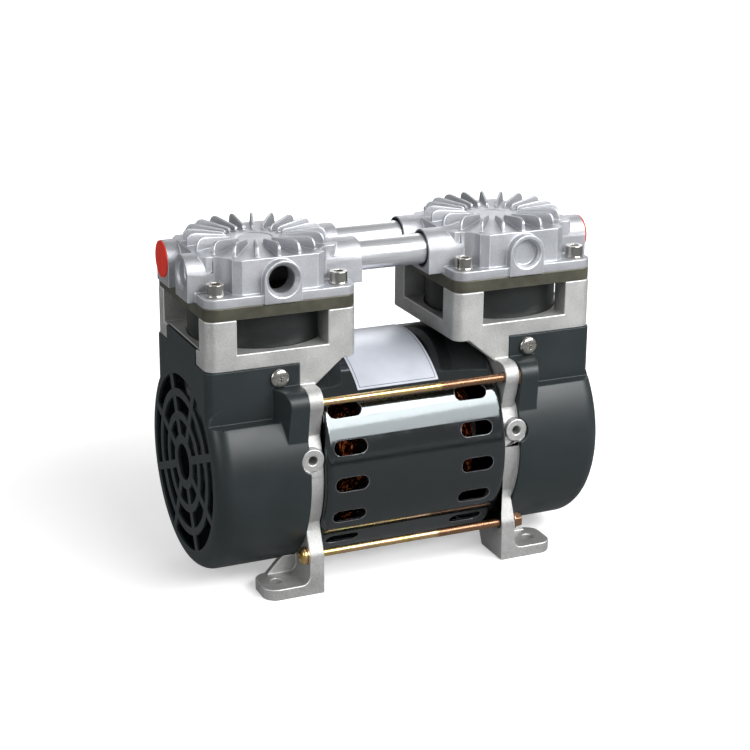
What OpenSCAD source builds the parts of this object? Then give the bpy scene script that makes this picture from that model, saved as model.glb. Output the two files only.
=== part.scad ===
// Oil-free air compressor with two rocking-piston heads on one motor, in millimetres.
// X runs along the motor shaft, the front is -Y, Z is up, and the part stands on Z = 0.
// The origin is the middle of the foot hole pattern. The right side is drawn, and the left mirrors it.

/* [Layout] */
// Distance from the middle of the motor to the axis of each cylinder
head_x = 74.3; // [73.8:0.1:75.2]
// Gap between the motor shell and the mounting face
ground_gap = 4.5; // [4:0.1:5]
// Gap between the motor shell and the underside of each cylinder seat
seat_gap_z = 2.8; // [2.5:0.1:4]
// Distance from the middle of the motor to the inner face of each end plate
web_x = 56.2; // [55.8:0.1:56.4]
// Throw of each eccentric, half of the piston's stroke
throw = 4; // [3:0.1:4.2]

/* [End frames] */
// Thickness of the end plate
web_t = 8.8; // [8.4:0.1:9]
// How far the end plate's round lies inside the motor shell's
web_set = 4.5; // [3.8:0.1:4.8]
// Wall between the cylinder sleeve and the seat's sides
seat_wall = 5.6; // [5.2:0.1:6]
// Corner radius of the cylinder seat
seat_corner_r = 6; // [5:0.5:8]
// Thickness of the cylinder seat
ledge_t = 9; // [8.5:0.1:9.5]
// Width of the seat's corner posts beside the windows
post_w = 17.5; // [17:0.5:19]
// Width of the outer posts beside the outer window
post_out_w = 13; // [12.5:0.5:15]
// Height of the windows around the cylinder
window_h = 19.5; // [19:0.1:20.5]
// Gap between the motor shell and the tie rods
rod_gap = 5.1; // [4.8:0.1:5.4]
// Angle of the tie rods above and below the shaft's height, in degrees
rod_angle = 39.8; // [39.4:0.1:40.2]
// Radius of the lug round each tie rod
lug_r = 8; // [7.6:0.1:8.4]
// How far the lug's centre lies inside the tie rod
lug_set = 3.7; // [3.4:0.1:4]
// Width of each leg
leg_w = 25.5; // [24:0.5:27]
// How far the legs' outer edges lie inside the motor shell's radius
leg_set = 4; // [3.2:0.1:4.4]
// How far the narrow place above each leg lies inside its outer edge
waist_set = 6; // [5.6:0.1:6.4]
// Height of that narrow place above the lower tie rods
waist_lift = 14; // [13:0.5:15]
// Height by which the diagonal brace falls below the seat
brace_h = 14.5; // [13:0.5:16]
// Length of the diagonal brace along the seat
brace_l = 17; // [15:0.5:18]

/* [Feet] */
// Thickness of the foot pads
foot_t = 6.7; // [6:0.1:7.5]
// Reach of each foot pad beyond the end plate
foot_l = 26; // [25:0.5:28]
// Radius of the foot pad's outer corners
foot_corner_r = 8; // [6:0.5:9]
// Distance of the foot holes from the end plate
foot_hole_reach = 15.7; // [15:0.1:16.5]
// Distance of the foot holes from the legs' outer edges
foot_hole_set = 12.3; // [11.8:0.1:12.8]
// Radius of the foot holes
foot_hole_r = 3.3; // [3:0.1:3.5]
// Height of the gusset on each foot at the end plate
gusset_h = 26; // [24:0.5:28]
// Thickness of the gusset
gusset_t = 4; // [3.5:0.1:5]

/* [Side bosses] */
// Distance of the threaded side bosses from the middle
side_boss_x = 63.3; // [63:0.1:63.6]
// Height of the side bosses above the shaft
side_boss_rise = 13.6; // [13:0.1:14.2]
// Radius of the side bosses
side_boss_r = 6.7; // [6.4:0.1:7]
// How far the side bosses stand out beyond the legs
side_boss_proud = 0.6; // [0.4:0.1:1.2]
// Radius of the threaded hole in each side boss
side_hole_r = 2.6; // [2.4:0.1:3]
// Depth of the threaded hole in each side boss
side_hole_d = 12; // [10:0.5:13]

/* [Cylinders and pistons] */
// Radius of the cylinder bore
bore_r = 31.75; // [31.5:0.05:32.2]
// Wall of the cylinder sleeve
sleeve_t = 6.65; // [6.4:0.05:7]
// Wall of the sleeve's lower spigot
spigot_t = 4.05; // [3.8:0.05:4.4]
// Length of the spigot below the shoulder
spigot_l = 6; // [5:0.5:6]
// Depth of the shoulder's recess in the seat
shoulder_d = 3; // [2.5:0.1:3.5]
// Gap between the piston's top and the valve plate at its highest
piston_gap = 0.9; // [0.8:0.1:1.2]
// Thickness of the piston disc
piston_t = 5; // [4.5:0.1:5.5]
// Side clearance of the piston besides the throw
piston_play = 0.6; // [0.5:0.1:0.8]
// Thickness of the cup seal
cup_t = 1.2; // [1:0.1:1.4]
// Height of the cup seal's lip
lip_h = 3; // [2.6:0.1:3.2]
// Thickness of the disc that holds the cup seal
retainer_t = 2.6; // [2.4:0.1:2.8]

/* [Connecting rods] */
// Width of the rod and its bearing along the shaft
rod_w = 10; // [9.5:0.1:10.2]
// Radius of the eccentric's journal
journal_r = 12.5; // [12.2:0.1:12.8]
// Outer radius of the rod's bearing
rod_bearing_r = 23.5; // [23:0.1:24]
// Wall of the rod's big end around its bearing
big_end_wall = 5; // [4.5:0.1:5.5]
// Width of the rod's shank, front to back
shank_w = 20; // [18:0.5:22]
// Depth of the pockets in the rod's shank
shank_pocket = 2.5; // [2:0.1:3]
// Thickness of the counterweight
weight_t = 6; // [5.5:0.1:6.4]
// Radius of the counterweight
weight_r = 30; // [28:0.5:31]

/* [Valve plates and heads] */
// Thickness of the valve plate
plate_t = 7.1; // [6.8:0.1:7.5]
// Corner radius of the valve plate and the head flange
plate_corner_r = 7; // [6:0.5:8]
// Thickness of the head's flange
flange_t = 5.3; // [5:0.1:5.6]
// Height of the head's walls above the valve plate
wall_top = 24.6; // [24.2:0.1:25]
// How far the head's walls stand inside its flange
wall_set = 3.5; // [3:0.05:4]
// How far the walls' trimmed corners stand outside the flange's sides
wall_corner = 2; // [1.5:0.1:2.5]
// Radius of the pockets round the head screws
pocket_r = 9.2; // [8.8:0.1:9.6]
// Distance of the head screws from the flange's sides, along the shaft
screw_set_x = 8.3; // [8:0.1:8.6]
// Distance of the head screws from the flange's sides, front to back
screw_set_y = 8; // [7.8:0.1:8.3]
// Number of cooling fins on each head
fin_count = 20; // [16:2:24]
// Thickness of the fins at their crest
fin_t = 1.2; // [1:0.1:1.6]
// Thickness of the fins at their root
fin_root_t = 2.4; // [2:0.1:2.6]
// Height of the fins above the walls, at their highest
fin_h = 7.1; // [6.6:0.1:7.6]
// Fall of the fins' crest from there to their inner end
crest_drop = 2.2; // [1.5:0.1:2.8]
// Radius at which the fins start
fin_in_r = 16.2; // [15.9:0.1:17]
// Radius of the round at the fins' inner end
crest_round = 2.2; // [1.8:0.1:2.6]
// How far the fins' outer ends lie inside the walls
fin_set = 0.3; // [0.2:0.05:0.7]
// Radial length of the fins' steep outer ends
fin_end_l = 5.7; // [5:0.1:6.4]
// Radius of the head's flat hub
hub_button_r = 15.5; // [15:0.1:15.7]
// Height of the hub above the walls
hub_rise = 1.8; // [1.6:0.1:2.2]
// How far the head's two chambers reach beyond the cylinder bore
chamber_proud = 1.25; // [0.75:0.05:1.5]
// Thickness of the wall between the chambers
chamber_wall = 4; // [3.6:0.1:5]
// Height of the chambers above the valve plate
chamber_h = 20.5; // [20.3:0.1:20.8]

/* [Ports and tubes] */
// Height of the front port above the valve plate
port_rise = 12.6; // [12.4:0.1:12.8]
// Radius of the front port's boss
port_boss_r = 10.9; // [10.6:0.1:11.2]
// How far the front port's face stands out beyond the flange
port_proud = 1.4; // [1:0.1:2]
// Radius of the threaded port bores
port_r = 7.5; // [7.2:0.1:7.7]
// Radius of the open port's chamfered mouth
port_mouth_r = 9.8; // [9.6:0.1:10]
// Depth of that chamfer
port_mouth_d = 3; // [2.6:0.1:3.2]
// Radius of the blank ports
blank_r = 7.5; // [7.2:0.1:7.8]
// Depth of the blank ports
blank_d = 4.5; // [4:0.1:5]
// Depth of the other mouths' chamfers
mouth_d = 1.4; // [1.2:0.1:1.6]
// Distance of the side ports and tubes from the head's axis, front to back
tube_y = 16.55; // [16.3:0.05:16.8]
// Height of the side ports and tubes above the valve plate
tube_rise = 14.3; // [14:0.1:14.5]
// Radius of the outer-side bosses
side_port_boss_r = 10.6; // [10.4:0.1:10.8]
// How far the outer-side bosses stand out beyond the flange
side_port_proud = 4.4; // [4:0.1:4.8]
// Outer radius of the transfer tubes
tube_r = 8.8; // [8.6:0.1:8.9]
// Wall of the transfer tubes
tube_wall = 1.6; // [1.4:0.1:1.8]
// Radius of the bosses that hold the tubes
tube_boss_r = 11.2; // [11.1:0.1:11.5]
// How far those bosses stand out beyond the flange
tube_boss_proud = 9.8; // [9:0.1:10.4]
// Depth by which each tube enters its boss
tube_in = 8.5; // [8:0.1:9]
// Radius of the tube bosses' chamfered mouths
tube_mouth_r = 10.3; // [10.1:0.1:10.5]
// Thickness of the seal ring round each tube
tube_seal_t = 1.2; // [1.1:0.05:1.3]
// Radius of the port caps' discs
cap_r = 10.4; // [10.2:0.1:10.6]
// Thickness of the port caps' discs
cap_t = 0.8; // [0.7:0.1:1]
// Length of the port caps' plugs
plug_l = 8; // [7:0.5:9]

/* [Fan covers and fans] */
// How far the cover's barrel lies inside the motor shell's radius
cover_set = 0.5; // [0.2:0.1:0.8]
// Height of the barrel's flat shoulders above the shaft
shoulder_rise = 35.5; // [35:0.1:36.5]
// Wall of the cover
cover_wall = 2.3; // [2.2:0.1:2.5]
// How far the cover stands out beyond the cylinder seat
cover_proud = 0.6; // [0.4:0.1:1]
// Radius of the barrel's outer edge
cover_edge_r = 9.5; // [9:0.5:10]
// Radius of the column's outer edges
column_edge_r = 5; // [4:0.5:6]
// Length of the pockets over the upper tie-rod ends
bulge_l = 11; // [10:0.5:12]
// Extra length of those pockets at the column
bulge_slope = 5; // [4:0.5:6]
// Width of the tongue that rises into the seat's outer side
tongue_w = 50; // [48:0.5:52]
// Number of spokes in the grille
spoke_count = 8; // [6:1:10]
// Width of the grille's spokes and rings
spoke_w = 4.6; // [4:0.1:5]
// Distance of the grille's outermost slots from the barrel's side
grille_set = 11.5; // [11.5:0.5:12.5]
// Radial width of each row of slots
slot_row_w = 8.6; // [8:0.1:9]
// Radius of the hole in the middle of the grille
grille_hub_r = 10.5; // [10:0.5:11]
// Gap between the fan's blades and the inside of the cover
fan_gap = 2.2; // [2:0.1:3]
// Radius of the fan's hub
fan_hub_r = 15; // [13:0.5:17]
// Length of the fan along the shaft
fan_l = 17; // [16:0.5:18]
// Number of blades on each fan
blade_count = 9; // [7:1:11]
// Thickness of the blades
blade_t = 2; // [1.6:0.1:2.4]
// Slant of the blades in degrees
blade_slant = 35; // [30:1:40]

/* [Motor] */
// Outer radius of the motor shell
shell_r = 63; // [62.7:0.1:63.3]
// Wall of the motor shell
shell_wall = 1.5; // [1.3:0.1:1.6]
// Outer radius of the shell's rolled ends
shell_roll_r = 4; // [3.5:0.1:4.2]
// Length of the ventilation slots in the shell
vent_l = 20; // [18.5:0.5:21.5]
// Width of the ventilation slots
vent_w = 8.4; // [8:0.1:9]
// Half the distance between the two fields of slots
vent_x = 39; // [38:0.5:40]
// Distance by which both fields lie to the left of the middle
vent_shift = 2; // [1:0.5:2.5]
// Angle between neighbouring slots in degrees
vent_step = 19.3; // [18.8:0.1:20]
// Angle by which the middle slots lie below the shaft's height, in degrees
vent_drop = 2; // [1.5:0.1:3]
// Share of the shell's radius at which the stator's bore lies
stator_share = 0.54; // [0.53:0.005:0.55]
// Length of the stator and rotor cores
core_l = 56; // [52:0.5:58]
// Number of slots in the stator
stator_slots = 24; // [18:6:24]
// Length of the windings' end turns beyond the core
coil_l = 16; // [14:0.5:17]
// Radius of the shaft between its bearings
shaft_r = 8.5; // [8:0.1:9]
// Radius of the shaft's ends
shaft_end_r = 6; // [5.5:0.1:6.2]
// Outer radius of the motor bearings
bearing_r = 16; // [15.5:0.1:16.5]
// Width of the motor bearings
bearing_w = 9.6; // [9:0.1:9.8]
// Length of the label along the shaft
label_l = 50; // [46:0.5:54]
// Distance of the label's middle from the middle of the shell, to the left
label_x = 5; // [2:0.5:7]
// Angle at which the label starts above the shaft's height, in degrees
label_start = 46; // [45:1:50]
// Angle that the label covers, in degrees
label_sweep = 66; // [60:1:75]

/* [Fasteners] */
// Radius of the tie rods
tie_r = 2.2; // [2:0.1:2.4]
// Radius of their threaded part
tie_thread_r = 2.45; // [2.4:0.05:2.6]
// Distance of the threaded part from the middle of the motor
tie_thread_x = 16; // [12:0.5:20]
// Radius of the tie rods' heads
tie_head_r = 5; // [4.8:0.1:5.2]
// Height of the tie rods' heads
tie_head_h = 3.4; // [3:0.1:3.6]
// Thickness of the tie rods' washers
tie_washer_t = 1; // [0.8:0.1:1.2]
// Width across the flats of the tie rods' nuts
nut_w = 8; // [7.8:0.1:8.4]
// Height of the tie rods' nuts
nut_h = 4; // [3.6:0.1:4.2]
// Radius of the head screws
head_screw_r = 3; // [2.8:0.1:3.1]
// Radius of the head screws' heads
head_screw_head_r = 5; // [4.8:0.1:5.2]
// Height of the head screws' heads
head_screw_head_h = 6; // [5.6:0.1:6.2]
// Length of the head screws below their washers
head_screw_l = 24; // [22:0.5:26]
// Width across the flats of the head screws' sockets
socket_w = 5; // [4.6:0.1:5.2]
// Radius of the cover screws
cover_screw_r = 2; // [1.8:0.1:2.1]
// Radius of the cover screws' heads
cover_screw_head_r = 5.4; // [5:0.1:5.6]

/* [Hidden] */
$fn = 60;

// Overrun of every cut beyond the face that it opens.
over = 1;
// Gap between pieces that slide or locate on one another.
fit = 0.05;
// Gap between pieces of one body that only stand close.
seat_gap = 0.15;
// Gap between castings, covers and whatever passes them.
clear = 0.4;

// Sizes that follow from the motor shell.
axis_z = shell_r + ground_gap;
ledge_z = axis_z + shell_r + seat_gap_z;
web_r = shell_r - web_set;
cover_r = shell_r - cover_set;
rod_reach = shell_r + rod_gap + tie_r;
rod_y = rod_reach * cos(rod_angle);
rod_rise = rod_reach * sin(rod_angle);
leg_out_y = shell_r - leg_set;
leg_in_y = leg_out_y - leg_w;
waist_y = leg_out_y - waist_set;
waist_rise = rod_rise - waist_lift;
foot_hole_x = web_x + web_t + foot_hole_reach;
foot_hole_y = leg_out_y - foot_hole_set;
side_boss_face = leg_out_y + side_boss_proud;
grille_r = cover_r - grille_set;

// Sizes that follow from the cylinder bore.
sleeve_r = bore_r + sleeve_t;
spigot_r = bore_r + spigot_t;
chamber_r = bore_r + chamber_proud;
seat_w = 2 * (sleeve_r + seat_wall);
window_w = seat_w - 2 * post_w;
window_out_w = seat_w - 2 * post_out_w;
wall_w = seat_w - 2 * wall_set;
wall_r = seat_w / 2 + wall_corner;
screw_x = seat_w / 2 - screw_set_x;
screw_y = seat_w / 2 - screw_set_y;
port_face = seat_w / 2 + port_proud;
side_port_face = seat_w / 2 + side_port_proud;
tube_boss_face = seat_w / 2 + tube_boss_proud;

// Stack of heights over the shaft's ends.
ledge_top = ledge_z + ledge_t;
plate_z = ledge_top + window_h;
head_z = plate_z + plate_t;
flange_top = head_z + flange_t;
walls_z = head_z + wall_top;
tube_z = head_z + tube_rise;
port_z = head_z + port_rise;
shoulder_z = ledge_top - shoulder_d;

// Places along the shaft.
web_out_x = web_x + web_t;
cover_x = web_out_x + seat_gap;
cover_end_x = head_x + seat_w / 2 + cover_proud;
rod_in_x = head_x - rod_w / 2;
weight_x = head_x + rod_w / 2 + 3 * clear;
fan_x = weight_x + weight_t + 5 * clear;
hub_proud = 3;
hub_r = 22;
bearing_x = web_out_x - bearing_w - seat_gap;
shaft_l = fan_x + fan_l + over;

// Tie rods, above and below the shaft.
rod_top_z = axis_z + rod_rise;
rod_low_z = axis_z - rod_rise;
lug_y = rod_y - lug_set;
tie_hole_r = tie_thread_r + clear;
washer_r = tie_head_r + clear / 2;

// Angle at which the straight flanks leave the round of the end plate, and how far inside it they start.
flank_angle = 25;
flank_in = 1;
flank_y = (web_r - flank_in) * cos(flank_angle);
flank_rise = (web_r - flank_in) * sin(flank_angle);

// Rings that locate the motor shell and the fan cover.
shell_end_r = shell_r - shell_roll_r;
shell_lip_r = shell_end_r - shell_wall;
register_r = shell_lip_r - fit;
register_w = 4;
register_l = 5;
cover_ring_r = cover_r - cover_wall - seat_gap;
cover_ring_w = 5;
cover_ring_l = 3.2;
cover_ring_rise = shoulder_rise - cover_wall - clear;

// Vents in the end plate.
web_vent_in_set = 11;
web_vent_out_set = 8.5;
web_vent_in_r = bearing_r + web_vent_in_set;
web_vent_out_r = web_r - web_vent_out_set;
web_spokes = 8;
web_spoke_w = 9;

// Lugs that take the cover screws.
cover_screw_x = head_x + cover_screw_head_r / 2;
cover_screw_z = ledge_z - cover_screw_head_r - 4 * clear;
cover_col_w = seat_w + clear;
cover_lug_w = 12;
cover_lug_d = 8;
cover_lug_h = 15;
cover_lug_y = cover_col_w / 2 - cover_wall - seat_gap;
cover_screw_l = 8;
bulge_wall = 0.9;
bulge_round = cover_screw_z - cover_screw_head_r - seat_gap - rod_top_z;
pocket_bore_r = washer_r + clear;
bulge_y = rod_y + pocket_bore_r + bulge_wall;
bulge_foot_y = sqrt(cover_r * cover_r - flank_rise * flank_rise);

// Fan, kept clear of the corners where the cover's shoulders meet its column.
fan_r = norm([cover_col_w / 2 - cover_wall, shoulder_rise - cover_wall]) - fan_gap;

// Foot fillet and side boss depth.
foot_fillet_r = 5;
side_boss_l = 14;

// Cylinder, seal grooves and piston.
sleeve_fit_r = sleeve_r + seat_gap;
seal_w = 2;
seal_t = 1.5;
seal_in_r = bore_r + seal_w;
groove_play = seat_gap / 3;
piston_r = bore_r - throw - piston_play;
piston_top = plate_z - piston_gap - axis_z - throw;
retainer_r = piston_r - lip_h;
retainer_screw_r = 3;
retainer_boss_r = 6;

// Valve ports and reeds.
valve_hole_r = 2.2;
valve_hole_pitch = 7;
valve_y = 15;
reed_t = 0.4;
reed_recess = 0.5;
reed_l = 30;
reed_w = 11;
gasket_in_r = chamber_r + seal_w / 2;
gasket_bar_w = chamber_wall / 2;

// Head screws and their washers.
head_washer_t = 1;
head_washer_r = head_screw_head_r + clear;
head_hole_r = head_screw_r + clear;
socket_d = 3;

// Crown of the fins: a round inner end, a crest that rises outwards and a steep outer end.
crown_z = walls_z + fin_h;
crest_in_z = crown_z - crest_drop;
fin_out_r = wall_w / 2 - fin_set;
crest_out_r = fin_out_r - fin_end_l;
crest_in_r = fin_in_r + crest_round;

// Floor between the fins, and the shallow dish in the hub.
floor_r = fin_out_r - over;
hub_dish_share = 2 / 3;
hub_dish_d = 0.6;

// Radii at which the ports' bores have fully broken into the chambers.
port_end_y = sqrt(chamber_r * chamber_r - port_r * port_r) - over;
side_port_end_x = sqrt(chamber_r * chamber_r - pow(tube_y + port_r, 2)) - over;

// Rotor, stator and windings.
air_gap = 0.6;
stator_bore_r = shell_r * stator_share;
rotor_r = stator_bore_r - air_gap;
stator_r = shell_r - shell_wall - fit;
stator_slot_w = 5;
stator_slot_in = 4;
stator_slot_l = 12;
coil_in_r = stator_bore_r + stator_slot_in;
coil_out_r = coil_in_r + stator_slot_l;
coil_round = 4;
end_ring_w = 11;
end_ring_set = 2.4;
end_ring_out_r = rotor_r - end_ring_set;
end_ring_in_r = end_ring_out_r - end_ring_w;
end_ring_l = 6;
label_t = 0.3;

// Rows of vent slots above and below the middle row.
vent_rows = 2;

// Turns a solid drawn along +Z to lie along +X, with its axis on the shaft.
module on_shaft(x0) {
    translate([x0, 0, axis_z]) rotate([0, 90, 0]) children();
}

// Extrudes an outline drawn in Y and Z along X, starting at x0.
module along_x(x0, length) {
    translate([x0, 0, 0]) rotate([90, 0, 90]) linear_extrude(length) children();
}

// Extrudes an outline drawn in X and Z along Y, starting at y0.
module along_y(y0, length) {
    translate([0, y0 + length, 0]) rotate([90, 0, 0]) linear_extrude(length) children();
}

// Round bar along X.
module bar_x(x0, length, y, z, r) {
    translate([x0, y, z]) rotate([0, 90, 0]) cylinder(h = length, r = r);
}

// Round bar along Y.
module bar_y(y0, length, x, z, r) {
    translate([x, y0, z]) rotate([-90, 0, 0]) cylinder(h = length, r = r);
}

// Draws the children on the right side, or mirrored on the left.
module on_side(side) {
    if (side < 0) mirror([1, 0, 0]) children();
    else children();
}

// Draws the children at the front and mirrored at the back.
module front_and_back() {
    children();
    mirror([0, 1, 0]) children();
}

module rounded_rect(w, d, r) {
    square([w - 2 * r, d], center = true);
    square([w, d - 2 * r], center = true);
    for (sx = [-1, 1], sy = [-1, 1])
        translate([sx * (w / 2 - r), sy * (d / 2 - r)]) circle(r);
}

module ring(out_r, in_r) {
    difference() {
        circle(out_r);
        circle(in_r);
    }
}

// Outline of the end plate: a round, two legs, four tie-rod lugs and the neck to the seat.
module end_plate_half() {
    polygon([
        [0, axis_z], [leg_in_y, 0], [leg_out_y, 0], [leg_out_y, rod_low_z],
        [waist_y, axis_z - waist_rise], [flank_y, axis_z - flank_rise]
    ]);
    polygon([
        [0, axis_z], [flank_y, axis_z + flank_rise], [lug_y + lug_r, rod_top_z],
        [lug_y, rod_top_z + lug_r], [seat_w / 2, rod_top_z + lug_r],
        [seat_w / 2, ledge_z + over], [0, ledge_z + over]
    ]);
    translate([lug_y, rod_top_z]) circle(lug_r);
    translate([lug_y, rod_low_z]) circle(lug_r);
}

module end_plate_outline() {
    translate([0, axis_z]) circle(web_r);
    end_plate_half();
    mirror([1, 0]) end_plate_half();
}

// Openings that let the fan's air through the end plate, between spokes.
module web_vents() {
    translate([0, axis_z]) difference() {
        ring(web_vent_out_r, web_vent_in_r);
        for (i = [0 : web_spokes - 1])
            rotate(i * 360 / web_spokes)
                translate([0, -web_spoke_w / 2]) square([web_r, web_spoke_w]);
    }
}

module foot_outline() {
    pad_l = web_t + foot_l;
    pad_w = leg_out_y - leg_in_y;
    translate([web_x, leg_in_y]) {
        square([pad_l - foot_corner_r, pad_w]);
        translate([0, foot_corner_r]) square([pad_l, pad_w - 2 * foot_corner_r]);
        for (y = [foot_corner_r, pad_w - foot_corner_r])
            translate([pad_l - foot_corner_r, y]) circle(foot_corner_r);
    }
}

// One foot at the back: pad, fillet against the end plate and gusset under the cover.
module foot() {
    linear_extrude(foot_t) foot_outline();
    along_y(leg_in_y, leg_out_y - leg_in_y) difference() {
        translate([web_out_x - over, foot_t - over]) square(foot_fillet_r + over);
        translate([web_out_x + foot_fillet_r, foot_t + foot_fillet_r]) circle(foot_fillet_r);
    }
    difference() {
        along_y(leg_in_y, gusset_t)
            polygon([[web_x + over, 0], [web_out_x + foot_l - foot_corner_r, 0],
                [web_out_x + foot_l - foot_corner_r, foot_t], [web_out_x, gusset_h],
                [web_x + over, gusset_h]]);
        on_shaft(web_out_x) cylinder(h = foot_l, r = cover_r + clear);
    }
}

// Cylinder seat: a square ledge with four corner posts that carry the valve plate.
module seat() {
    difference() {
        translate([head_x, 0, ledge_z]) linear_extrude(ledge_t + window_h)
            rounded_rect(seat_w, seat_w, seat_corner_r);
        translate([head_x, 0, ledge_top]) {
            cylinder(h = window_h + over, r = sleeve_fit_r + 2 * clear);
            translate([-seat_w, -window_w / 2, 0]) cube([2 * seat_w, window_w, window_h + over]);
            translate([-window_w / 2, -seat_w, 0]) cube([window_w, 2 * seat_w, window_h + over]);
            translate([0, -window_out_w / 2, 0]) cube([seat_w, window_out_w, window_h + over]);
        }
        translate([head_x, 0, shoulder_z]) cylinder(h = ledge_t, r = sleeve_fit_r);
        translate([cover_end_x - cover_wall - seat_gap, -tongue_w / 2 - seat_gap, ledge_z - over])
            cube([seat_w, tongue_w + 2 * seat_gap, ledge_t + 2 * over]);
    }
}

// Diagonal brace under the inner side of the seat, scooped out round the motor shell.
module brace() {
    difference() {
        along_y(-seat_w / 2, seat_w)
            polygon([[web_x + over, ledge_z - brace_h], [web_x, ledge_z - brace_h],
                [web_x - brace_l, ledge_z], [web_x - brace_l, ledge_z + over],
                [web_x + over, ledge_z + over]]);
        on_shaft(0) cylinder(h = web_x, r = shell_r + clear);
    }
}

module frame() {
    difference() {
        union() {
            along_x(web_x, web_t) end_plate_outline();
            on_shaft(web_x - hub_proud) cylinder(h = hub_proud + over, r = hub_r);
            on_shaft(web_x - register_l) linear_extrude(register_l + over)
                ring(register_r, register_r - register_w);
            on_shaft(web_out_x - fit) linear_extrude(cover_ring_l + fit) difference() {
                ring(cover_ring_r, cover_ring_r - cover_ring_w);
                translate([-2 * cover_r - cover_ring_rise, -cover_r]) square(2 * cover_r);
            }
            seat();
            brace();
            front_and_back() {
                foot();
                bar_y(side_boss_face - side_boss_l, side_boss_l, side_boss_x, axis_z + side_boss_rise,
                    side_boss_r);
                translate([cover_screw_x - cover_lug_w / 2, cover_lug_y - cover_lug_d, ledge_z - cover_lug_h])
                    cube([cover_lug_w, cover_lug_d, cover_lug_h + over]);
            }
        }
        along_x(web_x - over, web_t + 2 * over) web_vents();
        on_shaft(bearing_x) cylinder(h = web_t + hub_proud, r = bearing_r + fit);
        on_shaft(web_x - hub_proud - over) cylinder(h = web_t + hub_proud, r = bearing_r - shell_wall);
        translate([head_x, 0, ledge_z - over]) cylinder(h = ledge_t, r = spigot_r + seat_gap);
        for (sx = [-1, 1], sy = [-1, 1])
            translate([head_x + sx * screw_x, sy * screw_y, plate_z - head_screw_l + plate_t])
                cylinder(h = head_screw_l, r = head_screw_r + fit);
        front_and_back() {
            translate([foot_hole_x, foot_hole_y, -over]) cylinder(h = foot_t + 2 * over, r = foot_hole_r);
            bar_y(side_boss_face - side_hole_d, side_hole_d + over, side_boss_x,
                axis_z + side_boss_rise, side_hole_r);
            bar_x(web_x - over, web_t + 2 * over, rod_y, rod_top_z, tie_hole_r);
            bar_x(web_x - over, web_t + 2 * over, rod_y, rod_low_z, tie_hole_r);
            bar_y(cover_lug_y - cover_screw_l, cover_screw_l + over, cover_screw_x, cover_screw_z,
                cover_screw_r + fit);
        }
    }
}

// Shell of the motor: a tube with rolled-in ends and rows of ventilation slots.
module shell_half_profile(r, roll, length) {
    square([r - roll, length]);
    square([r, length - roll]);
    translate([r - roll, length - roll]) circle(roll);
}

module motor_shell() {
    half_l = web_x - seat_gap;
    color("#101114") difference() {
        on_shaft(0) rotate_extrude() difference() {
            union() {
                shell_half_profile(shell_r, shell_roll_r, half_l);
                mirror([0, 1]) shell_half_profile(shell_r, shell_roll_r, half_l);
            }
            shell_half_profile(shell_r - shell_wall, shell_roll_r - shell_wall, half_l - shell_wall);
            mirror([0, 1])
                shell_half_profile(shell_r - shell_wall, shell_roll_r - shell_wall, half_l - shell_wall);
            translate([0, -half_l - over]) square([shell_lip_r, 2 * half_l + 2 * over]);
            translate([-shell_r, -shell_r]) square([shell_r, 2 * shell_r]);
        }
        for (sx = [-1, 1], back = [0, 1], row = [-vent_rows : vent_rows])
            translate([sx * vent_x - vent_shift, 0, axis_z])
                rotate([180 * back + row * vent_step + (2 * back - 1) * vent_drop, 0, 0]) vent_cut();
    }
}

module vent_cut() {
    straight = vent_l - vent_w;
    depth = shell_wall + 2 * over;
    for (sx = [-1, 1])
        bar_y(shell_r - shell_wall - over, depth, sx * straight / 2, 0, vent_w / 2);
    translate([-straight / 2, shell_r - shell_wall - over, -vent_w / 2]) cube([straight, depth, vent_w]);
}

// Bare foil label on the upper front of the shell.
module label_plate() {
    reach = 2 * shell_r;
    mid = label_start + label_sweep / 2;
    color("#d9dce2") intersection() {
        on_shaft(-label_l / 2 - label_x) linear_extrude(label_l) ring(shell_r + fit + label_t, shell_r + fit);
        along_x(-label_l, 2 * label_l) translate([0, axis_z])
            polygon([[0, 0], reach * [-cos(label_start), sin(label_start)],
                reach * [-cos(mid), sin(mid)],
                reach * [-cos(label_start + label_sweep), sin(label_start + label_sweep)]]);
    }
}

module stator_slot_outline() {
    for (i = [0 : stator_slots - 1])
        rotate((i + 1 / 2) * 360 / stator_slots)
            translate([coil_in_r, -stator_slot_w / 2]) square([stator_slot_l, stator_slot_w]);
}

module stator_core() {
    color("#70747a") on_shaft(-core_l / 2) linear_extrude(core_l) difference() {
        ring(stator_r, stator_bore_r);
        stator_slot_outline();
    }
}

// Copper windings: bars in the stator's slots joined by a rounded bundle at each end.
module stator_windings() {
    color("#b5622c") {
        on_shaft(-core_l / 2 - over) linear_extrude(core_l + 2 * over) intersection() {
            stator_slot_outline();
            ring(coil_out_r - fit, coil_in_r + fit);
            for (i = [0 : stator_slots - 1])
                rotate((i + 1 / 2) * 360 / stator_slots)
                    translate([coil_in_r, -stator_slot_w / 2 + fit])
                        square([stator_slot_l, stator_slot_w - 2 * fit]);
        }
        for (end = [0, 1])
            mirror([end, 0, 0]) on_shaft(core_l / 2 + seat_gap) rotate_extrude()
                translate([(coil_in_r + coil_out_r) / 2, coil_l / 2])
                    rounded_rect(coil_out_r - coil_in_r, coil_l, coil_round);
    }
}

// Squirrel-cage rotor with its end rings.
module rotor() {
    color("#8d9299") on_shaft(-core_l / 2) difference() {
        union() {
            cylinder(h = core_l, r = rotor_r);
            translate([0, 0, -end_ring_l]) linear_extrude(core_l + 2 * end_ring_l)
                ring(end_ring_out_r, end_ring_in_r);
        }
        translate([0, 0, -over]) cylinder(h = core_l + 2 * over, r = shaft_r + fit / 2);
    }
}

module shaft() {
    color("#b9bec6") {
        on_shaft(-bearing_x) cylinder(h = 2 * bearing_x, r = shaft_r);
        on_shaft(-shaft_l) cylinder(h = 2 * shaft_l, r = shaft_end_r);
    }
}

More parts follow.
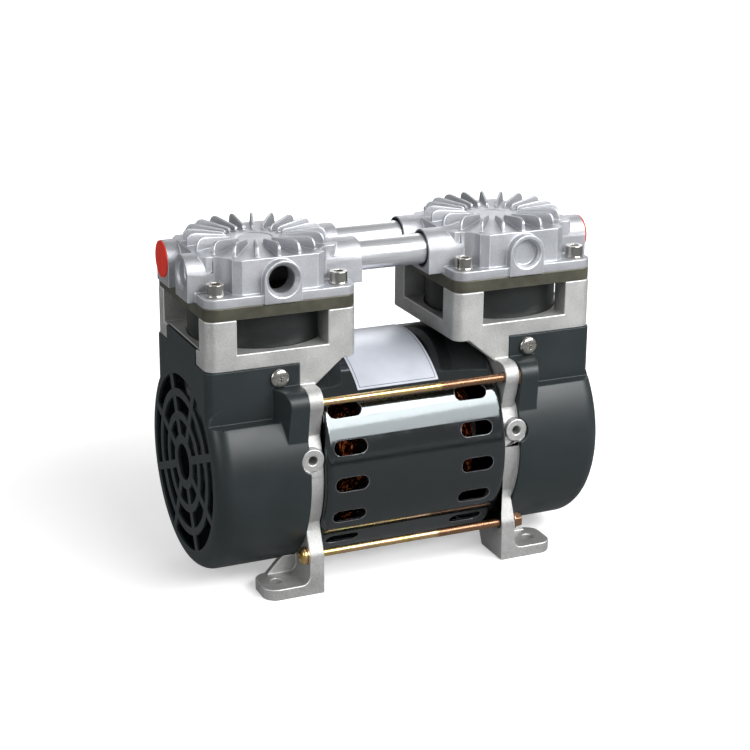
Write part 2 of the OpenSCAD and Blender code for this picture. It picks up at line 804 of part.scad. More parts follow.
// Ball bearing seen as its two rings, with a raceway groove and shields between them.
module bearing(out_r, in_r, w) {
    third = (out_r - in_r) / 3;
    recess = w / 12;
    difference() {
        linear_extrude(w) ring(out_r, in_r);
        for (z = [-over, w - recess])
            translate([0, 0, z]) linear_extrude(recess + over) ring(out_r - third, in_r + third);
    }
}

module motor_bearing(side) {
    color("#c3c8cf") on_side(side) on_shaft(bearing_x) bearing(bearing_r, shaft_end_r + fit / 2, bearing_w);
}

// Eccentric with its journal and counterweight. lift is +1 with the throw up and -1 with it down.
module eccentric(side, lift) {
    collar_r = journal_r - throw - clear;
    color("#6b7077") on_side(side) difference() {
        union() {
            on_shaft(web_out_x + seat_gap) cylinder(h = weight_x - web_out_x, r = collar_r);
            translate([0, 0, lift * throw]) on_shaft(rod_in_x - clear)
                cylinder(h = weight_x - rod_in_x + clear, r = journal_r - fit);
            intersection() {
                on_shaft(weight_x) cylinder(h = weight_t, r = weight_r);
                translate([weight_x, -weight_r, axis_z - (lift > 0 ? weight_r : 0)])
                    cube([weight_t, 2 * weight_r, weight_r]);
            }
            on_shaft(weight_x) cylinder(h = weight_t, r = journal_r);
        }
        on_shaft(web_out_x) cylinder(h = fan_x, r = shaft_end_r + fit / 2);
    }
}

// Connecting rod in one piece with its piston disc, drawn about the centre of its big end.
module con_rod(side, lift) {
    big_end_r = rod_bearing_r + big_end_wall;
    disc_top = piston_top - cup_t - retainer_t;
    disc_z = disc_top - piston_t;
    color("#a9adb4") on_side(side) translate([head_x, 0, axis_z + lift * throw]) difference() {
        union() {
            translate([-rod_w / 2, 0, 0]) rotate([0, 90, 0]) cylinder(h = rod_w, r = big_end_r);
            translate([-rod_w / 2, -shank_w / 2, 0]) cube([rod_w, shank_w, disc_z + over]);
            translate([0, 0, disc_z]) cylinder(h = piston_t, r = piston_r - fit);
            translate([0, 0, disc_z - piston_t])
                cylinder(h = piston_t + over, r1 = shank_w / 2, r2 = piston_r - piston_t);
        }
        translate([-rod_w, 0, 0]) rotate([0, 90, 0]) cylinder(h = 2 * rod_w, r = rod_bearing_r + fit / 2);
        for (sx = [-1, 1])
            translate([sx * (rod_w - shank_pocket) - rod_w / 2, -shank_w / 4, big_end_r])
                cube([rod_w, shank_w / 2, disc_z - big_end_r - 2 * piston_t]);
        translate([0, 0, disc_z - piston_t]) cylinder(h = 3 * piston_t, r = retainer_screw_r - fit);
    }
}

module rod_bearing(side, lift) {
    color("#c3c8cf") on_side(side) translate([0, 0, lift * throw])
        on_shaft(rod_in_x) bearing(rod_bearing_r, journal_r, rod_w);
}

// Cup seal: a flat ring with a lip turned up round its edge.
module piston_cup(side, lift) {
    color("#d8d4c6") on_side(side)
        translate([head_x, 0, axis_z + lift * throw + piston_top - cup_t - retainer_t]) rotate_extrude() {
            translate([retainer_boss_r, 0]) square([piston_r - retainer_boss_r, cup_t]);
            translate([piston_r - cup_t, 0]) square([cup_t, lip_h]);
        }
}

// Disc and screw that clamp the cup seal to the piston.
module cup_retainer(side, lift) {
    color("#9aa0a8") on_side(side)
        translate([head_x, 0, axis_z + lift * throw + piston_top - retainer_t]) difference() {
            union() {
                cylinder(h = retainer_t, r = retainer_r);
                translate([0, 0, -cup_t]) cylinder(h = cup_t + over, r = retainer_boss_r - fit);
                translate([0, 0, -cup_t - piston_t])
                    cylinder(h = piston_t + over, r = retainer_screw_r - 2 * fit);
            }
            translate([0, 0, retainer_t - reed_recess]) cylinder(h = over, r = retainer_boss_r);
        }
}

module cylinder_sleeve(side) {
    color("#3b403e") on_side(side) translate([head_x, 0, 0]) rotate_extrude() difference() {
        union() {
            translate([bore_r, shoulder_z - spigot_l]) square([spigot_r - bore_r, spigot_l + over]);
            translate([bore_r, shoulder_z]) square([sleeve_r - bore_r, plate_z - shoulder_z]);
        }
        translate([seal_in_r - groove_play, plate_z - seal_t])
            square([seal_w + 2 * groove_play, seal_t + over]);
    }
}

module cylinder_seal(side) {
    color("#1b1b1b") on_side(side) translate([head_x, 0, plate_z - seal_t + fit])
        linear_extrude(seal_t - 2 * fit) ring(seal_in_r + seal_w, seal_in_r);
}

// Valve plate: inlet holes at the front and outlet holes at the back of the bore.
module valve_plate(side) {
    color("#4b4b40") translate([side * head_x, 0, plate_z]) difference() {
        linear_extrude(plate_t) rounded_rect(seat_w, seat_w, plate_corner_r);
        for (sx = [-1, 1], sy = [-1, 1])
            translate([sx * screw_x, sy * screw_y, -over]) cylinder(h = plate_t + 2 * over, r = head_hole_r);
        for (i = [-1 : 1], sy = [-1, 1])
            translate([i * valve_hole_pitch, sy * valve_y, -over])
                cylinder(h = plate_t + 2 * over, r = valve_hole_r);
        translate([-reed_l / 2 - fit, -valve_y - reed_w / 2 - fit, -over])
            cube([reed_l + 2 * fit, reed_w + 2 * fit, reed_recess + over]);
    }
}

// Reed strips: one under the plate over the inlet holes, one above it over the outlet holes.
module reed_valves(side) {
    color("#a7b0b8") translate([side * head_x, 0, plate_z]) {
        translate([-reed_l / 2, -valve_y - reed_w / 2, reed_recess - reed_t])
            cube([reed_l, reed_w, reed_t]);
        translate([-reed_l / 2, valve_y - reed_w / 2, plate_t]) cube([reed_l, reed_w, reed_t]);
    }
}

module gasket_outline(play) {
    ring(gasket_in_r + seal_w + play, gasket_in_r - play);
    intersection() {
        circle(gasket_in_r + seal_w);
        square([2 * gasket_in_r + seal_w, gasket_bar_w + 2 * play], center = true);
    }
}

module head_gasket(side) {
    color("#1b1b1b") translate([side * head_x, 0, head_z + fit]) linear_extrude(seal_t - 2 * fit)
        gasket_outline(0);
}

// Horseshoe boss along -X, from the walls out to face, standing on the flange.
module side_boss_block(y, r, face, foot_z) {
    bar_x(-face, face - chamber_r / 2, y, tube_z, r);
    translate([-face, y - r, foot_z]) cube([face - chamber_r / 2, 2 * r, tube_z - foot_z]);
}

// Round recess or bore with a chamfered mouth, along -X.
module mouth_x(y, face, r, mouth_r, depth) {
    bar_x(-face - over, depth + over, y, tube_z, r);
    translate([-face - over, y, tube_z]) rotate([0, 90, 0]) cylinder(h = over + fit, r = mouth_r);
    translate([-face, y, tube_z]) rotate([0, 90, 0]) cylinder(h = mouth_d, r1 = mouth_r, r2 = r);
}

// Revolved crown that bounds the fins.
module fin_crown() {
    rotate_extrude() {
        translate([crest_in_r, crest_in_z - crest_round]) circle(crest_round);
        polygon([
            [0, walls_z - over], [fin_out_r, walls_z - over], [fin_out_r, walls_z],
            [crest_out_r, crown_z], [crest_in_r, crest_in_z], [crest_in_r, crest_in_z - crest_round],
            [fin_in_r, crest_in_z - crest_round], [fin_in_r, walls_z], [0, walls_z]
        ]);
    }
}

// Gently sloping floor between the fins, up to the flat hub with its shallow dish.
module fin_floor() {
    dish_r = hub_button_r * hub_dish_share;
    hub_z = walls_z + hub_rise;
    rotate_extrude()
        polygon([
            [0, walls_z - over], [floor_r, walls_z - over], [floor_r, walls_z], [hub_button_r, hub_z],
            [dish_r, hub_z], [dish_r - hub_dish_d, hub_z - hub_dish_d], [0, hub_z - hub_dish_d]
        ]);
}

// Radial fins, thinner at the crest than at the root.
module fins() {
    intersection() {
        fin_crown();
        for (i = [0 : fin_count / 2 - 1])
            rotate(i * 360 / fin_count + 90)
                along_x(-fin_out_r, 2 * fin_out_r)
                    polygon([[-fin_root_t / 2, walls_z - over], [fin_root_t / 2, walls_z - over],
                        [fin_t / 2, crown_z + over], [-fin_t / 2, crown_z + over]]);
    }
}

// Head casting about its own axis, as it stands on the left: blank side ports face the front.
module head_casting() {
    difference() {
        union() {
            translate([0, 0, head_z]) linear_extrude(flange_t) rounded_rect(seat_w, seat_w, plate_corner_r);
            difference() {
                translate([0, 0, head_z]) linear_extrude(wall_top) intersection() {
                    circle(wall_r);
                    square(wall_w, center = true);
                }
                for (sx = [-1, 1], sy = [-1, 1])
                    translate([sx * screw_x, sy * screw_y, flange_top]) cylinder(h = wall_top, r = pocket_r);
            }
            fins();
            fin_floor();
            for (sy = [-1, 1]) {
                side_boss_block(sy * tube_y, side_port_boss_r, side_port_face, head_z);
                mirror([1, 0, 0]) side_boss_block(sy * tube_y, tube_boss_r, tube_boss_face, head_z + mouth_d);
                translate([0, sy < 0 ? -port_face : port_face - port_boss_r, 0])
                    along_y(0, port_boss_r) {
                        translate([0, port_z]) circle(port_boss_r);
                        translate([-port_boss_r, head_z]) square([2 * port_boss_r, port_rise]);
                    }
            }
        }
        // Two chambers with a wall between them.
        translate([0, 0, head_z - over]) linear_extrude(chamber_h + over) difference() {
            circle(chamber_r);
            square([2 * chamber_r, chamber_wall], center = true);
        }
        translate([0, 0, head_z - over]) linear_extrude(seal_t + over) gasket_outline(groove_play);
        for (sx = [-1, 1], sy = [-1, 1])
            translate([sx * screw_x, sy * screw_y, head_z - over])
                cylinder(h = flange_t + 2 * over, r = head_hole_r);
        // Open port at the front, blank one at the back.
        bar_y(-port_face - over, over + port_face - port_end_y, 0, port_z, port_r);
        translate([0, -port_face, port_z]) rotate([-90, 0, 0])
            cylinder(h = port_mouth_d, r1 = port_mouth_r, r2 = port_r);
        bar_y(port_face - blank_d, blank_d + over, 0, port_z, blank_r);
        translate([0, port_face, port_z]) rotate([90, 0, 0])
            cylinder(h = mouth_d, r1 = blank_r + mouth_d, r2 = blank_r);
        // Open port at the back of the outer side, blank one at the front.
        mouth_x(tube_y, side_port_face, port_r, port_r + mouth_d / 2, side_port_face - side_port_end_x);
        mouth_x(-tube_y, side_port_face, blank_r, blank_r + mouth_d, blank_d);
        // Sockets for the two transfer tubes.
        for (sy = [-1, 1])
            mirror([1, 0, 0]) {
                mouth_x(sy * tube_y, tube_boss_face, tube_r + fit, tube_mouth_r, tube_in + seat_gap);
                bar_x(-tube_boss_face, tube_boss_face - chamber_r / 2, sy * tube_y, tube_z,
                    tube_r - tube_wall);
                translate([-tube_boss_face + tube_in / 2, sy * tube_y, tube_z]) rotate([0, 90, 0])
                    cylinder(h = tube_seal_t + 2 * fit, r = tube_r + tube_seal_t + fit);
            }
    }
}

// The right head is the same casting turned half round.
module head(side) {
    color("#b9bdc4") translate([side * head_x, 0, 0]) rotate(side < 0 ? 0 : 180) head_casting();
}

module head_screw() {
    translate([0, 0, flange_top]) {
        difference() {
            translate([0, 0, head_washer_t]) cylinder(h = head_screw_head_h, r = head_screw_head_r);
            translate([0, 0, head_washer_t + head_screw_head_h - socket_d])
                cylinder(h = socket_d + over, r = socket_w / sqrt(3), $fn = 6);
        }
        cylinder(h = head_washer_t, r = head_washer_r);
    }
    translate([0, 0, plate_z + plate_t - head_screw_l])
        cylinder(h = head_screw_l + flange_t + over, r = head_screw_r);
}

module head_screws(side) {
    color("#cfd2d6") for (sx = [-1, 1], sy = [-1, 1])
        translate([side * head_x + sx * screw_x, sy * screw_y, 0]) head_screw();
}

// Aluminium tube that joins the two heads, at the front or the back.
module transfer_tube(sy) {
    reach = head_x - tube_boss_face + tube_in;
    color("#c9cdd4") translate([-reach, sy * tube_y, tube_z]) rotate([0, 90, 0])
        linear_extrude(2 * reach) ring(tube_r, tube_r - tube_wall);
}

module tube_seals(side) {
    color("#202020") on_side(side) for (sy = [-1, 1])
        translate([head_x - tube_boss_face + tube_in / 2 + fit, sy * tube_y, tube_z]) rotate([0, 90, 0])
            linear_extrude(tube_seal_t) ring(tube_r + tube_seal_t, tube_r + fit);
}

// Push-in cap for the open port on each outer side.
module port_cap(side) {
    color("#d22b20") rotate(side < 0 ? 0 : 180)
        translate([-head_x - side_port_face, tube_y, tube_z]) rotate([0, -90, 0]) {
            translate([0, 0, fit]) cylinder(h = cap_t, r = cap_r);
            difference() {
                translate([0, 0, -plug_l]) cylinder(h = plug_l + cap_t / 2, r = port_r - fit);
                translate([0, 0, -plug_l - over]) cylinder(h = plug_l + over, r = port_r - cap_t);
            }
        }
}

// Fan with slanted blades between its hub and its tips.
module fan(side) {
    pitch = fan_l / 2;
    color("#2a2d2f") on_side(side) difference() {
        union() {
            on_shaft(fan_x) cylinder(h = fan_l, r = fan_hub_r);
            intersection() {
                on_shaft(fan_x) cylinder(h = fan_l, r = fan_r);
                for (i = [0 : blade_count - 1])
                    translate([fan_x + pitch, 0, axis_z]) rotate([i * 360 / blade_count, 0, 0])
                        rotate([0, 0, blade_slant]) translate([-fan_l, -blade_t / 2, 0])
                            cube([2 * fan_l, blade_t, fan_r]);
            }
        }
        on_shaft(fan_x - over) cylinder(h = fan_l + 2 * over, r = shaft_end_r + fit / 2);
    }
}

// Slots and hub hole of the grille: rows of slots cut by spokes.
module grille_cut() {
    difference() {
        for (row = [0 : 2]) {
            out_r = grille_r - row * (slot_row_w + spoke_w);
            ring(out_r, out_r - slot_row_w);
        }
        for (i = [0 : spoke_count - 1])
            rotate((i + 1 / 2) * 360 / spoke_count)
                translate([0, -spoke_w / 2]) square([cover_r, spoke_w]);
    }
    circle(grille_hub_r);
}

// Barrel with flat shoulders, and column of the cover; inset draws the hollow inside.
module cover_body(inset, x0, top_z) {
    r = cover_r - inset;
    edge = cover_edge_r - inset;
    col_edge = column_edge_r - inset;
    length = cover_end_x - inset - x0;
    half_w = cover_col_w / 2 - inset;
    difference() {
        on_shaft(x0) rotate_extrude() {
            square([r - edge, length]);
            square([r, length - edge]);
            translate([r - edge, length - edge]) circle(edge);
        }
        front_and_back() translate([x0 - over, half_w, axis_z + shoulder_rise - inset])
            cube([length + 2 * over, cover_r, cover_r]);
    }
    translate([x0, 0, axis_z]) linear_extrude(top_z - axis_z) {
        translate([0, -half_w]) square([length - col_edge, 2 * half_w]);
        translate([0, -half_w + col_edge]) square([length, 2 * half_w - 2 * col_edge]);
        for (sy = [-1, 1])
            translate([length - col_edge, sy * (half_w - col_edge)]) circle(col_edge);
    }
}

// Pocket at the back over an upper tie-rod end: it follows the frame's lug, and its end slopes to the column.
module bulge() {
    side_y = cover_col_w / 2;
    end_x = cover_x + bulge_l;
    intersection() {
        along_x(cover_x, bulge_l + bulge_slope + over) {
            translate([bulge_y - bulge_round, rod_top_z]) circle(bulge_round);
            polygon([[side_y - cover_wall, rod_top_z + bulge_round],
                [bulge_y - bulge_round, rod_top_z + bulge_round],
                [bulge_y, rod_top_z], [bulge_foot_y, axis_z + flank_rise],
                [side_y - cover_wall, axis_z + flank_rise]]);
        }
        translate([0, 0, axis_z]) linear_extrude(2 * cover_r)
            polygon([[cover_x - over, 0], [end_x + bulge_slope, 0], [end_x + bulge_slope, side_y],
                [end_x, bulge_y], [end_x, bulge_y + over], [cover_x - over, bulge_y + over]]);
    }
}

module fan_cover(side) {
    color("#363b3d") on_side(side) difference() {
        union() {
            cover_body(0, cover_x, ledge_z - seat_gap);
            translate([cover_end_x - cover_wall, -tongue_w / 2, axis_z])
                cube([cover_wall, tongue_w, ledge_top - axis_z]);
            front_and_back() bulge();
        }
        cover_body(cover_wall, cover_x - over, ledge_z + over);
        front_and_back() {
            bar_x(cover_x - over, tie_head_h + nut_h + over, rod_y, rod_top_z, pocket_bore_r);
            bar_y(web_r / 2, web_r, side_boss_x, axis_z + side_boss_rise, side_boss_r + clear);
            bar_y(0, cover_col_w, cover_screw_x, cover_screw_z, cover_screw_r + clear);
        }
        along_x(cover_end_x - 2 * cover_wall, 3 * cover_wall) translate([0, axis_z]) grille_cut();
    }
}

// Pan-head screws that hold the fan cover to the frame's lugs.
module cover_screws(side) {
    head_h = cover_screw_head_r / 2;
    color("#cfd2d6") on_side(side) front_and_back()
        translate([cover_screw_x, cover_col_w / 2, cover_screw_z]) rotate([-90, 0, 0]) {
            translate([0, 0, -cover_screw_l]) cylinder(h = cover_screw_l + over, r = cover_screw_r);
            pan_head(cover_screw_head_r, head_h);
        }
}

// Domed screw head: a low cylinder under a slice of a sphere.
module pan_head(r, h) {
    ball_r = (r * r + h * h) / (2 * h);
    translate([0, 0, seat_gap]) intersection() {
        cylinder(h = h, r = r - fit);
        translate([0, 0, h - ball_r]) sphere(ball_r);
    }
    cylinder(h = h / 3, r = r);
}

module tie_rods() {
    tie_end_x = web_out_x + tie_washer_t + nut_h;
    color("#c8a24a") front_and_back() for (z = [rod_top_z, rod_low_z]) {
        bar_x(-web_out_x - tie_washer_t - over, web_out_x + tie_washer_t + 2 * over + tie_thread_x,
            rod_y, z, tie_r);
        bar_x(tie_thread_x, tie_end_x - tie_thread_x, rod_y, z, tie_thread_r);
        translate([-web_out_x - tie_washer_t, rod_y, z]) rotate([0, -90, 0]) pan_head(tie_head_r, tie_head_h);
    }
}

// Washers at both ends of the tie rods, and a nut on each right-hand end.
module tie_rod_nuts() {
    hole_r = tie_thread_r + fit;
    color("#c4b27a") front_and_back() for (z = [rod_top_z, rod_low_z]) {
        for (x = [-web_out_x - tie_washer_t, web_out_x])
            translate([x, rod_y, z]) rotate([0, 90, 0]) linear_extrude(tie_washer_t) ring(washer_r, hole_r);
        translate([web_out_x + tie_washer_t, rod_y, z]) rotate([0, 90, 0]) linear_extrude(nut_h) difference() {
            circle(nut_w / sqrt(3), $fn = 6);
            circle(hole_r);
        }
    }
}

color("#aeb2b8") on_side(-1) frame();  // frame_left
color("#aeb2b8") on_side(1) frame();  // frame_right
motor_shell();
label_plate();
stator_core();
stator_windings();
rotor();
shaft();
motor_bearing(-1);  // motor_bearing_left
motor_bearing(1);  // motor_bearing_right
eccentric(-1, 1);  // eccentric_left
eccentric(1, -1);  // eccentric_right
con_rod(-1, 1);  // con_rod_left
con_rod(1, -1);  // con_rod_right
rod_bearing(-1, 1);  // rod_bearing_left
rod_bearing(1, -1);  // rod_bearing_right
piston_cup(-1, 1);  // piston_cup_left
piston_cup(1, -1);  // piston_cup_right
cup_retainer(-1, 1);  // cup_retainer_left
cup_retainer(1, -1);  // cup_retainer_right
cylinder_sleeve(-1);  // cylinder_left
cylinder_sleeve(1);  // cylinder_right
cylinder_seal(-1);  // cylinder_seal_left
cylinder_seal(1);  // cylinder_seal_right
valve_plate(-1);  // valve_plate_left
valve_plate(1);  // valve_plate_right
reed_valves(-1);  // reed_valves_left
reed_valves(1);  // reed_valves_right
head_gasket(-1);  // head_gasket_left
head_gasket(1);  // head_gasket_right
head(-1);  // head_left
head(1);  // head_right
head_screws(-1);  // head_screws_left
head_screws(1);  // head_screws_right
transfer_tube(-1);  // transfer_tube_front
transfer_tube(1);  // transfer_tube_back
tube_seals(-1);  // tube_seals_left
tube_seals(1);  // tube_seals_right
port_cap(-1);  // port_cap_left
port_cap(1);  // port_cap_right
fan(-1);  // fan_left
fan(1);  // fan_right
fan_cover(-1);  // fan_cover_left
fan_cover(1);  // fan_cover_right
cover_screws(-1);  // cover_screws_left
cover_screws(1);  // cover_screws_right
tie_rods();
tie_rod_nuts();
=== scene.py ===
import math
import random

import bpy
from mathutils import Matrix, Vector
from mathutils.bvhtree import BVHTree


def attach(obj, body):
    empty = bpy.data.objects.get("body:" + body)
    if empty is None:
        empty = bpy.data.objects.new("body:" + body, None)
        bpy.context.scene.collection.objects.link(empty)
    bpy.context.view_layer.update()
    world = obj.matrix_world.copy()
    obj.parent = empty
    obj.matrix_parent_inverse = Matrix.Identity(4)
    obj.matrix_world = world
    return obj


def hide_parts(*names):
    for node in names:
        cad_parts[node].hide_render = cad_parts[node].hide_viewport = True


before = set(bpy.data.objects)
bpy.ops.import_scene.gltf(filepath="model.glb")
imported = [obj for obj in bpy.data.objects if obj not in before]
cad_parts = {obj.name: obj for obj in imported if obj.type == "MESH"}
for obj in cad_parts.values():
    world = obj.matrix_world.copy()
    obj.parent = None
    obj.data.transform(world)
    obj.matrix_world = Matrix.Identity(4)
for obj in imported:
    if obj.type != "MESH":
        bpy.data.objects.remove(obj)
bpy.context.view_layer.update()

# End frames: one aluminium die casting at each end of the motor, with its feet,
# tie-rod lugs, side bosses and the square seat of the cylinder. The skin is as cast,
# slightly grainy, and every edge carries the die's own small radius.


def pick(*pieces):
    """Selects these pieces alone, the first of them active."""
    bpy.ops.object.select_all(action="DESELECT")
    for piece in pieces:
        piece.select_set(True)
    bpy.context.view_layer.objects.active = pieces[0]


def apply_modifier(piece, kind, **settings):
    """Adds a modifier with these settings and applies it."""
    pick(piece)
    step = piece.modifiers.new(kind.lower(), kind)
    for key, value in settings.items():
        setattr(step, key, value)
    bpy.ops.object.modifier_apply(modifier=step.name)


merge_gap = 1e-6
flat_angle, smooth_angle = 0.6, 35.0
stray_share = 0.6


def break_edges(piece, width, sharp=28.0, steps=2):
    """Rounds every edge sharper than that angle, and marks the middle of each round for a painted
    highlight.
    """
    mesh = piece.data
    pick(piece)
    bpy.ops.object.mode_set(mode="EDIT")
    bpy.ops.mesh.select_all(action="SELECT")
    bpy.ops.mesh.remove_doubles(threshold=merge_gap)
    bpy.ops.object.mode_set(mode="OBJECT")
    corners, faces = [v.co[:] for v in mesh.vertices], [p.vertices[:] for p in mesh.polygons]
    skin = BVHTree.FromPolygons(corners, faces)
    bpy.ops.object.mode_set(mode="EDIT")
    bpy.ops.mesh.dissolve_limited(angle_limit=math.radians(flat_angle))
    bpy.ops.object.mode_set(mode="OBJECT")
    mesh.materials.clear()
    mesh.materials.append(None)
    mesh.materials.append(None)
    mesh.polygons.foreach_set("material_index", [0] * len(mesh.polygons))
    apply_modifier(piece, "BEVEL", width=width, segments=steps, limit_method="ANGLE",
        angle_limit=math.radians(sharp), use_clamp_overlap=False, loop_slide=False,
        miter_outer="MITER_SHARP", material=1)
    for vertex in mesh.vertices:
        near, _, _, gap = skin.find_nearest(vertex.co)
        if gap > stray_share * width:
            vertex.co = near
    flat = set()
    for face in mesh.polygons:
        if face.material_index == 0:
            flat.update(face.vertices)
    # The rounds are marked so that materials can paint a highlight on them in a lighter colour.
    edge_highlight = mesh.attributes.new("edge_highlight", "FLOAT", "POINT")
    edge_highlight.data.foreach_set("value", [0.0 if v.index in flat else 1.0 for v in mesh.vertices])
    mesh.polygons.foreach_set("material_index", [0] * len(mesh.polygons))
    mesh.materials.clear()
    pick(piece)
    bpy.ops.object.shade_smooth_by_angle(angle=math.radians(smooth_angle))
    apply_modifier(piece, "WEIGHTED_NORMAL", keep_sharp=True)


def softened(node, width, sharp=28.0):
    """A CAD node's shape with its edges rounded."""
    piece = bpy.data.objects.new(node + "_softened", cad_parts[node].data.copy())
    bpy.context.scene.collection.objects.link(piece)
    break_edges(piece, width, sharp)
    return piece


def stand_for(piece, material, slot, body, *nodes):
    """Finishes a piece that takes the place of CAD nodes on a body."""
    piece.data.materials.clear()
    piece.data.materials.append(material)
    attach(piece, body)
    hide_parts(*nodes)


def start_material(name, colour, metal, rough):
    """A material with one shader at one even colour, its tree and that shader."""
    material = bpy.data.materials.new(name)
    material.use_nodes = True
    shader = material.node_tree.nodes["Principled BSDF"]
    shader.inputs["Base Color"].default_value = (*colour, 1)
    shader.inputs["Metallic"].default_value = metal
    shader.inputs["Roughness"].default_value = rough
    return material, material.node_tree, shader


def add(tree, kind, settings=None, **inputs):
    """A shader node. Its inputs go by name, with _ for a space, or by number, as i0 and i1."""
    made = tree.nodes.new("ShaderNode" + kind)
    for key, value in (settings or {}).items():
        setattr(made, key, value)
    for key, value in inputs.items():
        numbered = key[0] == "i" and key[1:].isdigit()
        socket = made.inputs[int(key[1:]) if numbered else key.replace("_", " ")]
        if isinstance(value, bpy.types.NodeSocket):
            tree.links.new(value, socket)
        else:
            socket.default_value = value
    return made


def wire(tree, shader, **patterns):
    """Feeds patterns into a shader's inputs, which are named as in add."""
    for key, value in patterns.items():
        tree.links.new(value, shader.inputs[key.replace("_", " ")])


def calc(tree, operation, *values):
    """One step of arithmetic on patterns and numbers, by the Math node's name for it."""
    inputs = {"i%d" % number: value for number, value in enumerate(values)}
    return add(tree, "Math", {"operation": operation}, **inputs).outputs[0]


def grain(tree, place, size, detail=3.0, rough=0.5):
    """Noise with grains of that size in metres."""
    return add(tree, "TexNoise", Vector=place, Scale=1 / size, Detail=detail,
        Roughness=rough).outputs["Fac"]


def spread(tree, value, low, high, to_low=0.0, to_high=1.0):
    """Stretches low to high over to_low to to_high, and holds it there."""
    return add(tree, "MapRange", Value=value, From_Min=low, From_Max=high, To_Min=to_low,
        To_Max=to_high).outputs["Result"]


noise_low, noise_high = 0.3, 0.7


def over(tree, noise, low=0.0, high=1.0):
    """Stretches the middle of a noise pattern over low to high."""
    return spread(tree, noise, noise_low, noise_high, low, high)


def tint(tree, factor, low, high):
    """Blends two colours, either of them even or a socket."""
    made = add(tree, "Mix", {"data_type": "RGBA"}, Factor=factor)
    for number, colour in ((6, low), (7, high)):
        if isinstance(colour, bpy.types.NodeSocket):
            tree.links.new(colour, made.inputs[number])
        else:
            made.inputs[number].default_value = (*colour, 1)
    return made.outputs[2]


def sum_of(tree, a, b, share=1.0):
    """a plus share times b."""
    return calc(tree, "MULTIPLY_ADD", b, share, a)


def relief(tree, shader, height, depth, strength):
    """Raises the surface by a height pattern of that depth in metres."""
    made = add(tree, "Bump", Strength=strength, Distance=depth, Height=height)
    wire(tree, shader, Normal=made.outputs["Normal"])


def edge_highlight_mask(tree):
    """The mark that break_edges leaves on the middle of each round, where materials paint a highlight."""
    return add(tree, "Attribute", {"attribute_name": "edge_highlight"}).outputs["Fac"]


def cast_metal(name, dark, light, edge_highlight, rough, coarse, bump):
    """Cast aluminium: mottled in patches, grainy, with a painted highlight on the rounded edges."""
    material, tree, shader = start_material(name, light, metal=0.85, rough=rough)
    place = add(tree, "TexCoord").outputs["Object"]
    skin = grain(tree, place, size=coarse, detail=4.0, rough=0.65)
    fine = grain(tree, place, size=coarse / 4, detail=2.0)
    patch = grain(tree, place, size=0.018, detail=3.0)
    mottle = sum_of(tree, over(tree, patch, 0.0, 0.5), over(tree, skin), 0.5)
    shade = tint(tree, mottle, dark, light)
    # The rounded edges are painted brighter as a painted highlight.
    edge = sum_of(tree, 0.0, edge_highlight_mask(tree), 0.8)
    wire(tree, shader, Base_Color=tint(tree, edge, shade, edge_highlight))
    dull = sum_of(tree, spread(tree, skin, 0.25, 0.75, rough - 0.05, rough + 0.09), edge_highlight_mask(tree), -0.12)
    wire(tree, shader, Roughness=dull)
    relief(tree, shader, sum_of(tree, skin, fine, 0.4), depth=0.00025, strength=bump)
    return material


frame_casting = cast_metal("frame_casting", dark=(0.38, 0.38, 0.375), light=(0.70, 0.70, 0.69),
    edge_highlight=(0.84, 0.84, 0.84), rough=0.54, coarse=0.0011, bump=0.6)
for side in ("left", "right"):
    stand_for(softened("frame_" + side, width=0.0007), frame_casting, "cast_frame", "motor_and_frames",
        "frame_" + side)

# Motor shell: a rolled steel tube with spun-in ends, its slots stamped out before it is
# painted gloss black. The paint has a faint waviness, and the slots' rims get a painted highlight.

shell_black, tree, shader = start_material("shell_black", (0.004, 0.0045, 0.005), metal=0.0, rough=0.10)
shader.inputs["Specular Tint"].default_value = (0.88, 0.97, 1.0, 1)
shader.inputs["IOR"].default_value = 1.9
place = add(tree, "TexCoord").outputs["Object"]
dust = grain(tree, place, size=0.0009, detail=2.0)
shade = tint(tree, spread(tree, dust, 0.5, 0.8), (0.004, 0.0045, 0.005), (0.010, 0.011, 0.012))
# The slots' rims are painted grey as a painted highlight.
wire(tree, shader, Base_Color=tint(tree, edge_highlight_mask(tree), shade, (0.16, 0.16, 0.17)))
wire(tree, shader, Roughness=over(tree, grain(tree, place, size=0.012, detail=3.0), 0.07, 0.14))
relief(tree, shader, grain(tree, place, size=0.006, detail=2.0), depth=0.0004, strength=0.05)
stand_for(softened("motor_shell", width=0.0004), shell_black, "shell_gloss_black", "motor_and_frames",
    "motor_shell")

# Rating label: satin foil glued round the shell. It is bare but for the thin ruled frame
# that such labels have.


def dress(material, *nodes):
    """Gives a material to CAD nodes that keep their own meshes."""
    for node in nodes:
        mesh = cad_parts[node].data
        mesh.materials.clear()
        mesh.materials.append(material)


foil, tree, shader = start_material("label_foil", (0.56, 0.59, 0.65), metal=0.30, rough=0.36)
place = add(tree, "TexCoord").outputs["Object"]
apart = add(tree, "SeparateXYZ", Vector=place).outputs
axis_height = 0.0675
label_r, label_middle, label_half, label_rise, label_arc = 0.063, -0.005, 0.025, 46.0, 66.0
frame_set, frame_half_line = 0.0015, 0.00018
